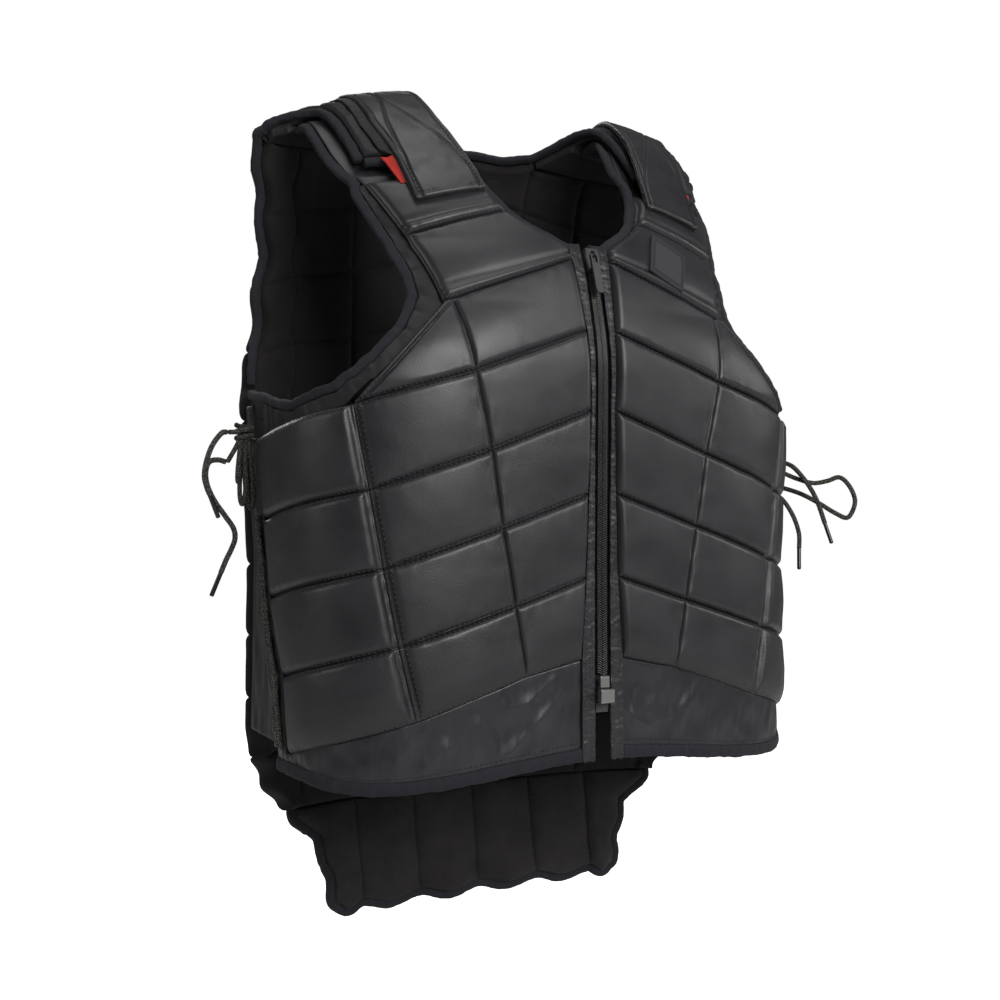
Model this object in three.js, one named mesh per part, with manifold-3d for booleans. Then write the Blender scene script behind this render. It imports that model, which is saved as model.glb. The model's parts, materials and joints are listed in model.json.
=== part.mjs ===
// Equestrian body protector: a padded, zipped riding vest with side lacing and a drop tail.
// Millimetres, +Z up. The front faces -Y and the wearer's left is +X. The origin lies midway
// between the undersides of the two shoulders, at the crest where they rest on the body.
//
// The vest is drawn as flat patterns laid on one body form. A pattern point has a distance
// round the body from the middle (s) and a height along the cloth from the armpit level (w).
import * as THREE from "three";
import { mergeVertices } from "three/addons/utils/BufferGeometryUtils.js";
import Module from "manifold-3d";

const wasm = await Module();
wasm.setup();

// Body form
const chest_half_width = 197;
const chest_depth = 145;
const back_depth = 84;
const front_squareness = 3.9;
const back_squareness = 2.5;
const shoulder_squareness = 2;
const armpit_drop = 190;
const shoulder_slope = 0.2;
const shoulder_middle = 105;
const tail_drop = 385;
const tail_foot = 375;

// Padding and cloth
const pad_thickness = 16;
const groove_depth = 6.5;
const crease_depth = 3.5;
const edge_sink = 5;
const lining_dent = 3;
const crown = 1.4;
const edge_roll = 6;
const gap = 0.3;

// Front pattern
const column_width = 80;
const row_pitch = 52.5;
const hem_height = 244;
const hem_dip = 12;
const hem_dip_place = 160;
const skirt_wall = 1.6;
const skirt_sink = 5;
const gusset_wall = 2.6;
const gusset_sink = 6;

// Back pattern
const back_column = 49;
const back_pitch = 49.5;
const back_rows = 10;
const back_foot = -299;
const back_row_slope = 0.2;
const arm_row = 6.5;
const tail_thickness = 13;
const neck_rim_drop = 61;

// Shoulders
const flap_thickness = 10;
const flap_front_length = 92;
const flap_back_length = 52;
const tab_past_crest = 18;
const lap_from = 34;
const lap_to = 6;
const top_margin = 14;
const tab_past_flap = 10;
const tab_thickness = 5.4;
const strap_width = 46;
const strap_wall = 2.6;
const strap_front_length = 134;
const strap_back_length = 36;
const strap_skew = 16;
const patch_wall = 1.2;
const patch_proud = 7;
const tab_red_wall = 1.6;
const tab_red_length = 20;

// Bindings
const binding_width = 9;
const binding_wall = 6;
const binding_gap = 0.5;

// Zip
const chain_width = 7.8;
const chain_wall = 3.4;
const chain_sink = 3;
const tape_half_width = 8.5;
const tape_wall = 1;
const facing_inner = 6.2;
const facing_wall = 1.6;
const facing_sink = 2.6;
const zip_top = 91;
const zip_past_foam = 19;
const slider_length = 15;
const slider_width = 11;
const slider_proud = 0.8;
const pull_length = 27;
const pull_width = 7.4;
const pull_wall = 1.4;
const pull_lift = 1.2;
const bail_wall = 1.8;
const bail_radius = 3.8;
const bail_bar = 1.2;
const box_width = 10.5;
const box_length = 9;
const box_wall = 5.5;
const pin_length = 8;

// Lacing
const lace_diameter = 3.6;
const lace_turns = 9;
const lacing_top_row = 2.75;
const lacing_foot_row = 0.1;
const seam_gap = 1.2;
const flap_seam_gap = 2.6;
const lace_edge_sink = 2;
const side_strip_sink = 4;
const aglet_diameter = 4.2;
const aglet_length = 16;
const bow_width = 17;
const bow_length = 58;
const bow_thickness = 12;
const bow_forward = 8;
const bow_top = -213;

// Badge
const badge_side = 30;
const badge_wall = 2.4;
const badge_turn = -0.47;
const badge_out = 61;
const badge_up = 90;

const outer_black = { color: 0x2b2c2f, roughness: 0.5, metalness: 0 };
const lining_black = { color: 0x241f1f, roughness: 0.9, metalness: 0 };
const binding_grey = { color: 0x33343a, roughness: 0.85, metalness: 0 };
const nylon_black = { color: 0x26272a, roughness: 0.35, metalness: 0 };
const hook_black = { color: 0x151515, roughness: 1, metalness: 0 };
const signal_red = { color: 0xc8301f, roughness: 0.8, metalness: 0 };
const gunmetal = { color: 0x3a3a3c, roughness: 0.35, metalness: 0.9 };
const pale_metal = { color: 0x9a9a98, roughness: 0.35, metalness: 0.9 };
const lace_black = { color: 0x22231f, roughness: 0.85, metalness: 0 };
const aglet_black = { color: 0x1b1b1c, roughness: 0.3, metalness: 0 };
const badge_rubber = { color: 0x2f3032, roughness: 0.6, metalness: 0 };

// The body form's side view: shares of the rise from the armpit level to the shoulder's top,
// and of the depth in front of or behind the shoulder's crest.
const front_profile = [
  { rise: 0, depth: 1 }, { rise: 0.1, depth: 0.995 }, { rise: 0.22, depth: 0.96 },
  { rise: 0.41, depth: 0.875 }, { rise: 0.57, depth: 0.73 }, { rise: 0.74, depth: 0.54 },
  { rise: 0.88, depth: 0.34 }, { rise: 0.97, depth: 0.16 },
];
const back_profile = [
  { rise: 0.985, depth: 0.27 }, { rise: 0.95, depth: 0.5 }, { rise: 0.9, depth: 0.72 },
  { rise: 0.8, depth: 0.86 }, { rise: 0.65, depth: 0.94 }, { rise: 0.45, depth: 0.98 },
  { rise: 0.2, depth: 1 }, { rise: 0, depth: 1 },
];
// Girths below the armpit: share of the tail's drop, then shares of width and of both depths.
const girths = [
  { down: 0, width: 1, front: 1, back: 1 },
  { down: 0.3, width: 0.972, front: 0.99, back: 0.93 },
  { down: 0.64, width: 0.985, front: 1, back: 0.86 },
  { down: 0.78, width: 0.97, front: 1, back: 0.8 },
  { down: 1, width: 0.95, front: 1, back: 0.6 },
];
// How square the front's plan is: by height, in row pitches above the armpit level.
const squareness = [
  { up: 0, share: 0 }, { up: 0.95, share: 0.74 }, { up: 1.81, share: 1 },
];
// Front seams from the foam's foot (row 0) to the collar: places of the zip edge, the middle
// seam and the side seam, out in column widths and up in row pitches.
const front_outline = [
  { row: 0, zip_out: 0.2, zip_up: -3.39, mid_out: 0.72, mid_up: -3.56, side_out: 1.645, side_up: -4.02 },
  { row: 1, zip_out: 0.156, zip_up: -2.38, mid_out: 0.825, mid_up: -2.7, side_out: 1.795, side_up: -3.14 },
  { row: 2, zip_out: 0.131, zip_up: -1.35, mid_out: 0.938, mid_up: -1.76, side_out: 1.925, side_up: -2.23 },
  { row: 3, zip_out: 0.113, zip_up: -0.32, mid_out: 1.025, mid_up: -0.83, side_out: 2.02, side_up: -1.31 },
  { row: 4, zip_out: 0.131, zip_up: 0.67, mid_out: 1.15, mid_up: 0.105, side_out: 2.13, side_up: -0.31 },
  { row: 5, zip_out: 0.175, zip_up: 1.58, mid_out: 1.25, mid_up: 0.99, side_out: 1.32, side_up: 0.97 },
  { row: 5.33, zip_out: 0.188, zip_up: 1.75, mid_out: 1.19, mid_up: 1.37, side_out: 1.363, side_up: 1.257 },
  { row: 5.5, zip_out: 0.3, zip_up: 1.876, mid_out: 1.15, mid_up: 1.56, side_out: 1.4, side_up: 1.43 },
  { row: 5.67, zip_out: 0.413, zip_up: 1.99, mid_out: 1.11, mid_up: 1.75, side_out: 1.43, side_up: 1.58 },
  { row: 5.83, zip_out: 0.525, zip_up: 2.124, mid_out: 1.09, mid_up: 1.92, side_out: 1.463, side_up: 1.733 },
  { row: 6, zip_out: 0.638, zip_up: 2.305, mid_out: 1.063, mid_up: 2.114, side_out: 1.488, side_up: 1.886 },
  { row: 6.5, zip_out: 0.75, zip_up: 2.648, mid_out: 1.175, mid_up: 2.533, side_out: 1.6, side_up: 2.38 },
  { row: 7, zip_out: 0.825, zip_up: 3.01, mid_out: 1.263, mid_up: 2.93, side_out: 1.713, side_up: 2.857 },
];
// The shoulder tab above row 7: share of its length, then both edges in column widths.
const tab_outline = [
  { share: 0, neck: 0.825, arm: 1.713 }, { share: 0.15, neck: 0.855, arm: 1.83 },
  { share: 0.3, neck: 0.885, arm: 1.9 }, { share: 0.5, neck: 0.95, arm: 1.94 },
  { share: 0.7, neck: 1.02, arm: 1.96 }, { share: 0.85, neck: 1.06, arm: 1.95 },
  { share: 1, neck: 1.075, arm: 1.94 },
];
// The side block column: rows 0 to 4, its rear edge and the laced edge behind it.
const side_outline = [
  { row: 0, rear_out: 2.91, rear_up: -4.5, lace_out: 3.15, lace_up: -4.42 },
  { row: 1, rear_out: 3, rear_up: -3.58, lace_out: 3.36, lace_up: -3.54 },
  { row: 2, rear_out: 3.31, rear_up: -2.65, lace_out: 3.59, lace_up: -2.7 },
  { row: 3, rear_out: 3.45, rear_up: -1.68, lace_out: 3.72, lace_up: -1.7 },
  { row: 4, rear_out: 3.54, rear_up: -0.65, lace_out: 3.72, lace_up: -0.64 },
];
// The armhole's soft gusset: rows of the front panel's outer edge, then columns of the side
// block's top edge, with the gusset's width there in column widths.
const gusset_outline = [
  { row: 7, column: 0, width: 0.06 }, { row: 6.5, column: 0, width: 0.09 },
  { row: 6, column: 0, width: 0.11 }, { row: 5.5, column: 0, width: 0.12 },
  { row: 5, column: 0, width: 0.19 }, { row: 4.67, column: 0, width: 0.1 },
  { row: 4.33, column: 0, width: 0.11 }, { row: 4, column: 0.06, width: 0.13 },
  { row: 4, column: 0.25, width: 0.135 }, { row: 4, column: 0.5, width: 0.14 },
  { row: 4, column: 0.75, width: 0.2 }, { row: 4, column: 0.94, width: 0.28 },
];
// The back panel's side edge: height in back pitches from the armpit level, share of the
// back's half girth.
const back_edge = [
  { up: -6.04, out: 0.72 }, { up: -5.4, out: 0.83 }, { up: -4.7, out: 0.9 },
  { up: -3.9, out: 0.92 }, { up: -0.2, out: 0.92 }, { up: 0.5, out: 0.83 },
  { up: 1.5, out: 0.78 }, { up: 2.4, out: 0.8 }, { up: 3.2, out: 0.83 }, { up: 4.1, out: 0.81 },
];
// The tail's side edge: share of its height from the top, share of the back's half girth.
const tail_edge = [
  { down: 0, out: 0.66 }, { down: 0.35, out: 0.61 }, { down: 0.7, out: 0.56 },
  { down: 1, out: 0.52 },
];
// The rear shoulder flap's edges: place along it from the crest, as a share of its front
// length (over 0) or rear length (under 0), then both edges in column widths.
const flap_outline = [
  { along: -1, neck: 0.605, arm: 2.22 }, { along: -0.7, neck: 0.77, arm: 2.19 },
  { along: -0.35, neck: 0.9, arm: 2.03 }, { along: 0, neck: 0.98, arm: 1.84 },
  { along: 0.4, neck: 1, arm: 1.75 }, { along: 1, neck: 1.01, arm: 1.66 },
];
// The strap over the shoulder: place along it from the crest, as a share of its front
// length (over 0) or rear length (under 0), and its middle line in column widths.
const strap_line = [
  { along: -1, out: 1.34 }, { along: 0, out: 1.31 }, { along: 0.45, out: 1.24 },
  { along: 0.75, out: 1.13 }, { along: 1, out: 1.07 },
];

// Free lace points, chosen by hand: x, y, z from the bow out.
const right_long_points = [
  [-211.5, -8, -240], [-216.9, -7, -238.5], [-222.9, -7, -240], [-225.4, -8, -247], [-224.4, -9, -256],
  [-219.9, -10, -266], [-213.4, -11, -275.5], [-207.9, -12, -284], [-206.9, -12, -291], [-209.4, -12, -298],
  [-212.9, -12, -305], [-216.4, -11, -314],
];
const right_short_points = [
  [-211.4, -10, -220], [-215.9, -12, -221], [-222.4, -14, -229], [-226.2, -14, -239],
  [-227.8, -14, -248.7], [-226.2, -13, -256], [-223.9, -13, -262],
];
const left_long_points = [
  [212.4, -10, -226], [222, -22, -229], [232, -35, -235.5], [234.5, -48, -240.1], [238.5, -60, -252.9],
  [241.8, -68, -267], [244.7, -74, -285],
];
const left_short_points = [
  [212.1, -8, -260], [217, -22, -260.5], [219.7, -36, -261], [219.5, -48, -263.2], [220.9, -56, -269.4],
  [223.9, -62, -280.3], [225.5, -66, -292.7], [223.9, -68, -304.3],
];
const left_loop_points = [
  [212.4, -8, -236], [218.5, -22, -239], [228, -38, -243.5], [236.9, -50, -249.5], [246.3, -58, -252.9],
  [255.4, -64, -251.3], [263, -70, -248.5], [269, -75, -256], [272, -77.5, -268], [267.5, -74.5, -280],
  [260.1, -68, -276.6], [251, -58.5, -268.5], [241, -46, -260.5], [228.5, -28, -254.5], [212.3, -8, -250],
];

function lerp(a, b, t) {
  return a + (b - a) * t;
}

function clamp(value, low, high) {
  return Math.min(high, Math.max(low, value));
}

function eased(value, from, to) {
  const t = clamp((value - from) / (to - from), 0, 1);
  return t * t * (3 - 2 * t);
}

// Straight reading of a table's column at a place of its key column.
function read(rows, key, at, column) {
  let i = 0;
  while (i < rows.length - 2 && at > rows[i + 1][key]) i += 1;
  const t = clamp((at - rows[i][key]) / (rows[i + 1][key] - rows[i][key]), 0, 1);
  return lerp(rows[i][column], rows[i + 1][column], t);
}

// A superellipse quarter as a table of girth against place.
function quarterSection(width, depth, power) {
  const rows = [{ s: 0, x: 0, y: depth }];
  const steps = 240;
  for (let i = 1; i <= steps; i += 1) {
    const turn = (Math.PI / 2) * (i / steps);
    const x = width * Math.sin(turn) ** (2 / power);
    const y = i === steps ? 0 : depth * Math.cos(turn) ** (2 / power);
    const last = rows[rows.length - 1];
    rows.push({ s: last.s + Math.hypot(x - last.x, y - last.y), x, y });
  }
  return rows;
}

// A fast reading of a section table, whose rows are many.
function readSection(rows, s) {
  let low = 0;
  let high = rows.length - 1;
  while (high - low > 1) {
    const middle = (low + high) >> 1;
    if (rows[middle].s > s) high = middle;
    else low = middle;
  }
  const t = clamp((s - rows[low].s) / (rows[high].s - rows[low].s), 0, 1);
  return { x: lerp(rows[low].x, rows[high].x, t), y: lerp(rows[low].y, rows[high].y, t) };
}

const rise = armpit_drop + pad_thickness;
const front_section = quarterSection(chest_half_width, chest_depth, front_squareness);
const back_section = quarterSection(chest_half_width, back_depth, back_squareness);
const front_girth = front_section[front_section.length - 1].s;
const back_girth = back_section[back_section.length - 1].s;

// The side view as one smooth curve from the chest over the crest to the back.
function profilePaths() {
  const points = front_profile.map((row) => new THREE.Vector2(-chest_depth * row.depth, rise * row.rise));
  points.push(new THREE.Vector2(0, rise));
  back_profile.forEach((row) => points.push(new THREE.Vector2(back_depth * row.depth, rise * row.rise)));
  const steps = 24;
  const curve = new THREE.SplineCurve(points).getPoints(steps * (points.length - 1));
  const crest = steps * front_profile.length;
  const front = [{ s: 0, x: 1, y: -armpit_drop }];
  for (let i = 1; i <= crest; i += 1) {
    const s = front[i - 1].s + curve[i].distanceTo(curve[i - 1]);
    front.push({ s, x: -curve[i].x / chest_depth, y: curve[i].y - armpit_drop });
  }
  const back = [{ s: 0, x: 1, y: -armpit_drop }];
  for (let i = curve.length - 2; i >= crest; i -= 1) {
    const s = back[back.length - 1].s + curve[i].distanceTo(curve[i + 1]);
    back.push({ s, x: curve[i].x / back_depth, y: curve[i].y - armpit_drop });
  }
  return { front, back };
}

const profiles = profilePaths();
const front_top = profiles.front[profiles.front.length - 1].s;
const back_top = profiles.back[profiles.back.length - 1].s;

// The point of a section at a height: the section's share of depth follows the profile.
function placed(x, y, w, path, column, facing) {
  const down = clamp(-w / tail_drop, 0, 1);
  const side = w < 0 ? { x: 1, y: w - armpit_drop } : readSection(path, w);
  const drop = shoulder_slope * (x - shoulder_middle) * (1 - side.x);
  return new THREE.Vector3(
    x * read(girths, "down", down, "width"),
    facing * y * side.x * read(girths, "down", down, column),
    side.y - drop,
  );
}

// Pattern point on the front. Past the shoulder's crest it goes on down the back.
function frontPoint(s, w) {
  const flat = readSection(front_section, s);
  if (w > front_top) return backAcross(flat.x, back_top + front_top - w);
  if (w <= 0) return placed(flat.x, flat.y, w, profiles.front, "front", -1);
  const blend = read(squareness, "up", w / row_pitch, "share");
  const power = lerp(front_squareness, shoulder_squareness, blend);
  const y = chest_depth * (1 - clamp(flat.x / chest_half_width, 0, 1) ** power) ** (1 / power);
  return placed(flat.x, y, w, profiles.front, "front", -1);
}

function backPoint(s, w) {
  const flat = readSection(back_section, s);
  return placed(flat.x, flat.y, w, profiles.back, "back", 1);
}

function backAcross(x, w) {
  const y = back_depth * (1 - clamp(x / chest_half_width, 0, 1) ** back_squareness) ** (1 / back_squareness);
  return placed(x, y, w, profiles.back, "back", 1);
}

// Round the side below the armhole: the front's girth goes on into the back's.
function sidePoint(p, w) {
  return p <= front_girth ? frontPoint(p, w) : backPoint(back_girth - (p - front_girth), w);
}

// Across the shoulder: x from the middle, v along it from the crest, over 0 in front.
function shoulderPoint(x, v) {
  if (v < 0) return backAcross(x, back_top + v);
  return frontPoint(x, front_top - v);
}

// A pattern point with its outward normal and its two directions, on one side of the body.
function frame(surface, a, b, side) {
  const step = 0.5;
  const point = surface(a, b);
  const along = surface(a + step, b).sub(surface(a - step, b)).normalize();
  const up = surface(a, b + step).sub(surface(a, b - step)).normalize();
  const normal = along.clone().cross(up).normalize();
  if (normal.dot(new THREE.Vector3(point.x, point.y, point.z + armpit_drop)) < 0) normal.negate();
  const mirror = new THREE.Vector3(side, 1, 1);
  return {
    point: point.multiply(mirror),
    normal: normal.multiply(mirror),
    along: along.multiply(mirror),
    up: up.multiply(mirror),
  };
}

function lifted(place, out) {
  return place.point.clone().addScaledVector(place.normal, out);
}

// A closed body from its points and faces, turned so that its faces point out.
function closedBody(points, faces) {
  const position = new Float32Array(points.length * 3);
  points.forEach((p, i) => position.set([p.x, p.y, p.z], i * 3));
  let volume = 0;
  faces.forEach(([a, b, c]) => {
    volume += points[a].dot(points[b].clone().cross(points[c]));
  });
  const turned = volume < 0 ? faces.map(([a, b, c]) => [a, c, b]) : faces;
  const geometry = new THREE.BufferGeometry();
  geometry.setAttribute("position", new THREE.BufferAttribute(position, 3));
  geometry.setIndex(turned.flat());
  geometry.computeVertexNormals();
  return geometry;
}

// A padded or plain sheet: a grid of outer and inner points joined round its border.
function slab(rows, columns, pairAt) {
  const points = [];
  for (let i = 0; i < rows; i += 1) {
    for (let j = 0; j < columns; j += 1) points.push(...pairAt(i, j));
  }
  const id = (i, j, layer) => 2 * (i * columns + j) + layer;
  const faces = [];
  const quad = (a, b, c, d) => faces.push([a, b, c], [a, c, d]);
  for (let i = 0; i < rows - 1; i += 1) {
    for (let j = 0; j < columns - 1; j += 1) {
      quad(id(i, j, 0), id(i, j + 1, 0), id(i + 1, j + 1, 0), id(i + 1, j, 0));
      quad(id(i, j, 1), id(i + 1, j, 1), id(i + 1, j + 1, 1), id(i, j + 1, 1));
    }
  }
  for (let j = 0; j < columns - 1; j += 1) {
    quad(id(0, j, 0), id(0, j, 1), id(0, j + 1, 1), id(0, j + 1, 0));
    quad(id(rows - 1, j, 0), id(rows - 1, j + 1, 0), id(rows - 1, j + 1, 1), id(rows - 1, j, 1));
  }
  for (let i = 0; i < rows - 1; i += 1) {
    quad(id(i, 0, 0), id(i + 1, 0, 0), id(i + 1, 0, 1), id(i, 0, 1));
    quad(id(i, columns - 1, 0), id(i, columns - 1, 1), id(i + 1, columns - 1, 1), id(i + 1, columns - 1, 0));
  }
  return closedBody(points, faces);
}

// A bar of one section carried through frames; each section point is [across, out].
function bar(frames, section) {
  const points = [];
  frames.forEach((place) => {
    section.forEach(([across, out]) => {
      points.push(lifted(place, out).addScaledVector(place.across, across));
    });
  });
  const n = section.length;
  const faces = [];
  for (let i = 0; i < frames.length - 1; i += 1) {
    for (let j = 0; j < n; j += 1) {
      const k = (j + 1) % n;
      faces.push([i * n + j, i * n + k, (i + 1) * n + k], [i * n + j, (i + 1) * n + k, (i + 1) * n + j]);
    }
  }
  const last = (frames.length - 1) * n;
  for (let j = 1; j < n - 1; j += 1) {
    faces.push([0, j + 1, j], [last, last + j, last + j + 1]);
  }
  return closedBody(points, faces);
}

// Gives each frame of a run its direction across, away from the piece that it edges.
function run(places, turn) {
  return places.map((place, i) => {
    const before = places[Math.max(i - 1, 0)].point;
    const after = places[Math.min(i + 1, places.length - 1)].point;
    const tangent = after.clone().sub(before).normalize();
    const across = tangent.cross(place.normal).normalize().multiplyScalar(turn);
    return { ...place, across };
  });
}

const binding_section = [
  [binding_gap, -edge_sink], [binding_width * 0.8, -edge_sink + 0.6], [binding_width, -edge_sink - binding_wall / 2],
  [binding_width * 0.8, -edge_sink - binding_wall - 0.4], [binding_gap, -edge_sink - binding_wall],
];

const vest = new THREE.Group();

function add(name, geometry, finish) {
  const mesh = new THREE.Mesh(geometry, new THREE.MeshStandardMaterial(finish));
  mesh.name = name;
  vest.add(mesh);
  return mesh;
}

const sides = [{ name: "right", sign: -1 }, { name: "left", sign: 1 }];

// Lines across one block: both seams, both rolled edges and the crown.
function blockLines(length) {
  const roll = Math.min(edge_roll / length, 0.3);
  return [0, roll, 0.5, 1 - roll];
}

// Pattern place in the front panel: row from the foot up, column 0 to 2 from the zip out.
function frontPlace(row, column) {
  const shoulder_row = 7;
  const get = (name) => [
    read(front_outline, "row", row, `${name}_out`) * column_width,
    read(front_outline, "row", row, `${name}_up`) * row_pitch,
  ];
  if (row > shoulder_row) {
    const share = row - shoulder_row;
    const neck = read(tab_outline, "share", share, "neck") * column_width;
    const arm = read(tab_outline, "share", share, "arm") * column_width;
    const base = frontPlace(shoulder_row, column);
    return [lerp(neck, arm, column / 2), lerp(base[1], front_top + tab_past_crest, share)];
  }
  const [a, b] = column <= 1 ? [get("zip"), get("mid")] : [get("mid"), get("side")];
  const t = column <= 1 ? column : column - 1;
  return [lerp(a[0], b[0], t), lerp(a[1], b[1], t)];
}

// How far a padded block stands from its seams: 0 on a seam, 1 from the rolled edge on.
function padLevel(share, depth) {
  const distance = Math.min(share, 1 - share);
  if (distance < 0.001) return -depth;
  return distance < 0.31 ? -0.5 : crown;
}

const collar_row = 5.33;

function panelRows() {
  const rows = [];
  for (let row = 0; row < 7; row += 1) {
    blockLines(row_pitch).forEach((f) => rows.push(row + f));
    if (row === 5) rows.splice(rows.length - 2, 0, collar_row);
  }
  return rows;
}

function frontPanel(side) {
  const rows = panelRows();
  const tab_steps = 7;
  for (let k = 0; k <= tab_steps; k += 1) rows.push(7 + k / tab_steps);
  const columns = [...blockLines(column_width), ...blockLines(column_width).map((f) => 1 + f), 2];
  return slab(rows.length, columns.length, (i, j) => {
    const row = rows[i];
    const column = columns[j];
    const [s, w] = frontPlace(row, column);
    const place = frame(frontPoint, s, w, side);
    const border = i === 0 || i === rows.length - 1 || j === 0 || j === columns.length - 1;
    const lap = eased(w, front_top - flap_front_length - lap_from, front_top - flap_front_length - lap_to);
    let out = 0;
    if (row < 7) {
      const across = row >= 5 ? (column / 2) : column % 1;
      const crease = row >= 5 ? groove_depth : crease_depth;
      out = Math.min(padLevel(row % 1, groove_depth), padLevel(across, crease));
    }
    const edge_out = row > 7 ? 0 : edge_sink;
    if (border) out = Math.min(out, -edge_out);
    const sunk = pad_thickness - tab_thickness;
    const outer = lerp(out, -sunk, lap);
    const thin = border ? edge_sink : 0;
    const dent = out < -1 ? lining_dent : 0;
    const inner = -pad_thickness + (1 - lap) * Math.max(thin, dent);
    return [lifted(place, outer), lifted(place, inner)];
  });
}

function sidePlace(row, column) {
  const front = frontPlace(row, 2);
  const rear = [
    read(side_outline, "row", row, "rear_out") * column_width,
    read(side_outline, "row", row, "rear_up") * row_pitch,
  ];
  const start = front[0] + gap;
  const sag = row > 3.99 ? 4 * Math.min(column, 1 - column) * 0.05 * row_pitch : 0;
  return [lerp(start, rear[0], column), lerp(front[1], rear[1], column) - sag];
}

function sidePanel(side) {
  const rows = [];
  for (let row = 0; row < 4; row += 1) blockLines(row_pitch).forEach((f) => rows.push(row + f));
  rows.push(4);
  const columns = [0, 0.06, 0.25, 0.5, 0.75, 0.94, 1];
  return slab(rows.length, columns.length, (i, j) => {
    const [s, w] = sidePlace(rows[i], columns[j]);
    const place = frame(frontPoint, s, w, side);
    const border = i === 0 || i === rows.length - 1 || j === 0 || j === columns.length - 1;
    let out = padLevel(rows[i] % 1, groove_depth);
    if (border) out = Math.min(out, -edge_sink);
    const inner = -pad_thickness + (border ? edge_sink : out < -1 ? lining_dent : 0);
    return [lifted(place, out), lifted(place, inner)];
  });
}

// The laced edge: a plain double cloth strip behind the side blocks.
function lacePlace(row, column) {
  const rear = sidePlace(row, 1);
  const edge = [
    read(side_outline, "row", row, "lace_out") * column_width,
    read(side_outline, "row", row, "lace_up") * row_pitch,
  ];
  return [lerp(rear[0] + gap, edge[0], column), lerp(rear[1], edge[1], column)];
}

function sideEdge(side) {
  const steps = 8;
  return slab(steps + 1, 3, (i, j) => {
    const [s, w] = lacePlace((4 * i) / steps, j / 2);
    const place = frame(frontPoint, s, w, side);
    return [lifted(place, -lace_edge_sink), lifted(place, -lace_edge_sink - gusset_wall)];
  });
}

function hemLevel(s) {
  const t = s / hem_dip_place;
  return -hem_height - hem_dip * (t < 1 ? eased(t, 0, 1) : 1 - 0.5 * eased(t, 1, 1.5));
}

// The unpadded skirt hangs from the foam's foot to the bound hem.
function frontSkirt(side) {
  const columns = [0, 0.5, 1, 1.34, 1.67, 2];
  const rear = [0.25, 0.5, 0.75, 1];
  const places = [];
  columns.forEach((column) => places.push(frontPlace(0, column)));
  rear.forEach((column) => places.push(sidePlace(0, column)));
  places.push(lacePlace(0, 1));
  const rows = 4;
  return slab(rows, places.length, (i, j) => {
    const [s, top] = places[j];
    const foot = hemLevel(s) + binding_width + gap;
    const w = lerp(foot, top - gap, i / (rows - 1));
    const place = frame(frontPoint, s, w, side);
    return [lifted(place, -skirt_sink), lifted(place, -skirt_sink - skirt_wall)];
  });
}

function hemBinding(side) {
  const steps = 10;
  const places = [];
  const end = frontPlace(0, 0)[0] + gap;
  const far = lacePlace(0, 1)[0];
  for (let i = 0; i <= steps; i += 1) {
    const s = lerp(end, far, i / steps);
    places.push(frame(frontPoint, s, hemLevel(s) + binding_width, side));
  }
  const section = [[gap, -3.6], [binding_width, -3.6], [binding_width, -8], [gap, -8]];
  return bar(run(places, side), section);
}

// Pattern points stood off a pattern line at right angles, to the left of its run.
function stoodOff(line, distances) {
  return line.map(([s, w], i) => {
    const before = line[Math.max(i - 1, 0)];
    const after = line[Math.min(i + 1, line.length - 1)];
    const run_s = after[0] - before[0];
    const run_w = after[1] - before[1];
    const length = Math.hypot(run_s, run_w);
    return [s - (run_w / length) * distances[i], w + (run_s / length) * distances[i]];
  });
}

function gussetLines() {
  const foam = gusset_outline.map(({ row, column }) => (column > 0 ? sidePlace(row, column) : frontPlace(row, 2)));
  const near = stoodOff(foam, gusset_outline.map(() => 3 * gap));
  const far = stoodOff(foam, gusset_outline.map(({ width }) => width * column_width));
  return { near, far };
}

function gusset(side) {
  const { near, far } = gussetLines();
  return slab(near.length, 2, (i, j) => {
    const [s, w] = j === 0 ? near[i] : far[i];
    const place = frame(frontPoint, s, w, side);
    return [lifted(place, -gusset_sink), lifted(place, -gusset_sink - gusset_wall)];
  });
}

// The front armhole's binding: down the tab, along the gusset and round the side.
function frontArmBinding(side) {
  const places = [];
  const tab_steps = 6;
  for (let k = tab_steps; k >= 1; k -= 1) {
    const share = k / tab_steps;
    const [s, w] = frontPlace(7 + share, 2);
    const place = frame(frontPoint, s, w, side);
    place.point.addScaledVector(place.normal, -6 * eased(share, 0, 0.3));
    places.push(place);
  }
  const { far } = gussetLines();
  far.forEach(([s, w]) => places.push(frame(frontPoint, s, w, side)));
  const last = far[far.length - 1];
  const end = front_girth + back_girth * (1 - read(back_edge, "up", 0, "out")) - 2;
  const side_steps = 3;
  for (let k = 1; k <= side_steps; k += 1) {
    const p = lerp(last[0], end, k / side_steps);
    places.push(frame(sidePoint, p, last[1] + 1.5 * k, side));
  }
  return bar(run(places, -side), binding_section);
}

function frontNeckBinding(side) {
  const rows = panelRows().filter((row) => row >= collar_row);
  const corner = frontPlace(collar_row, 0);
  const places = [frame(frontPoint, tape_half_width / 2, corner[1], side)];
  rows.concat([7]).forEach((row) => places.push(frame(frontPoint, ...frontPlace(row, 0), side)));
  const tab_steps = 6;
  for (let k = 1; k <= tab_steps; k += 1) {
    const share = k / tab_steps;
    const [s, w] = frontPlace(7 + share, 0);
    const place = frame(frontPoint, s, w, side);
    place.point.addScaledVector(place.normal, -6 * eased(share, 0, 0.3));
    places.push(place);
  }
  return bar(run(places, -side), binding_section);
}

// The back panel's top: the neck scoop, then the seam to the shoulder flaps from column 1 on.
function backTop(column) {
  const seam = back_top - flap_back_length;
  const scoop = back_top - neck_rim_drop;
  return column < 0.75 ? scoop : seam;
}

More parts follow.
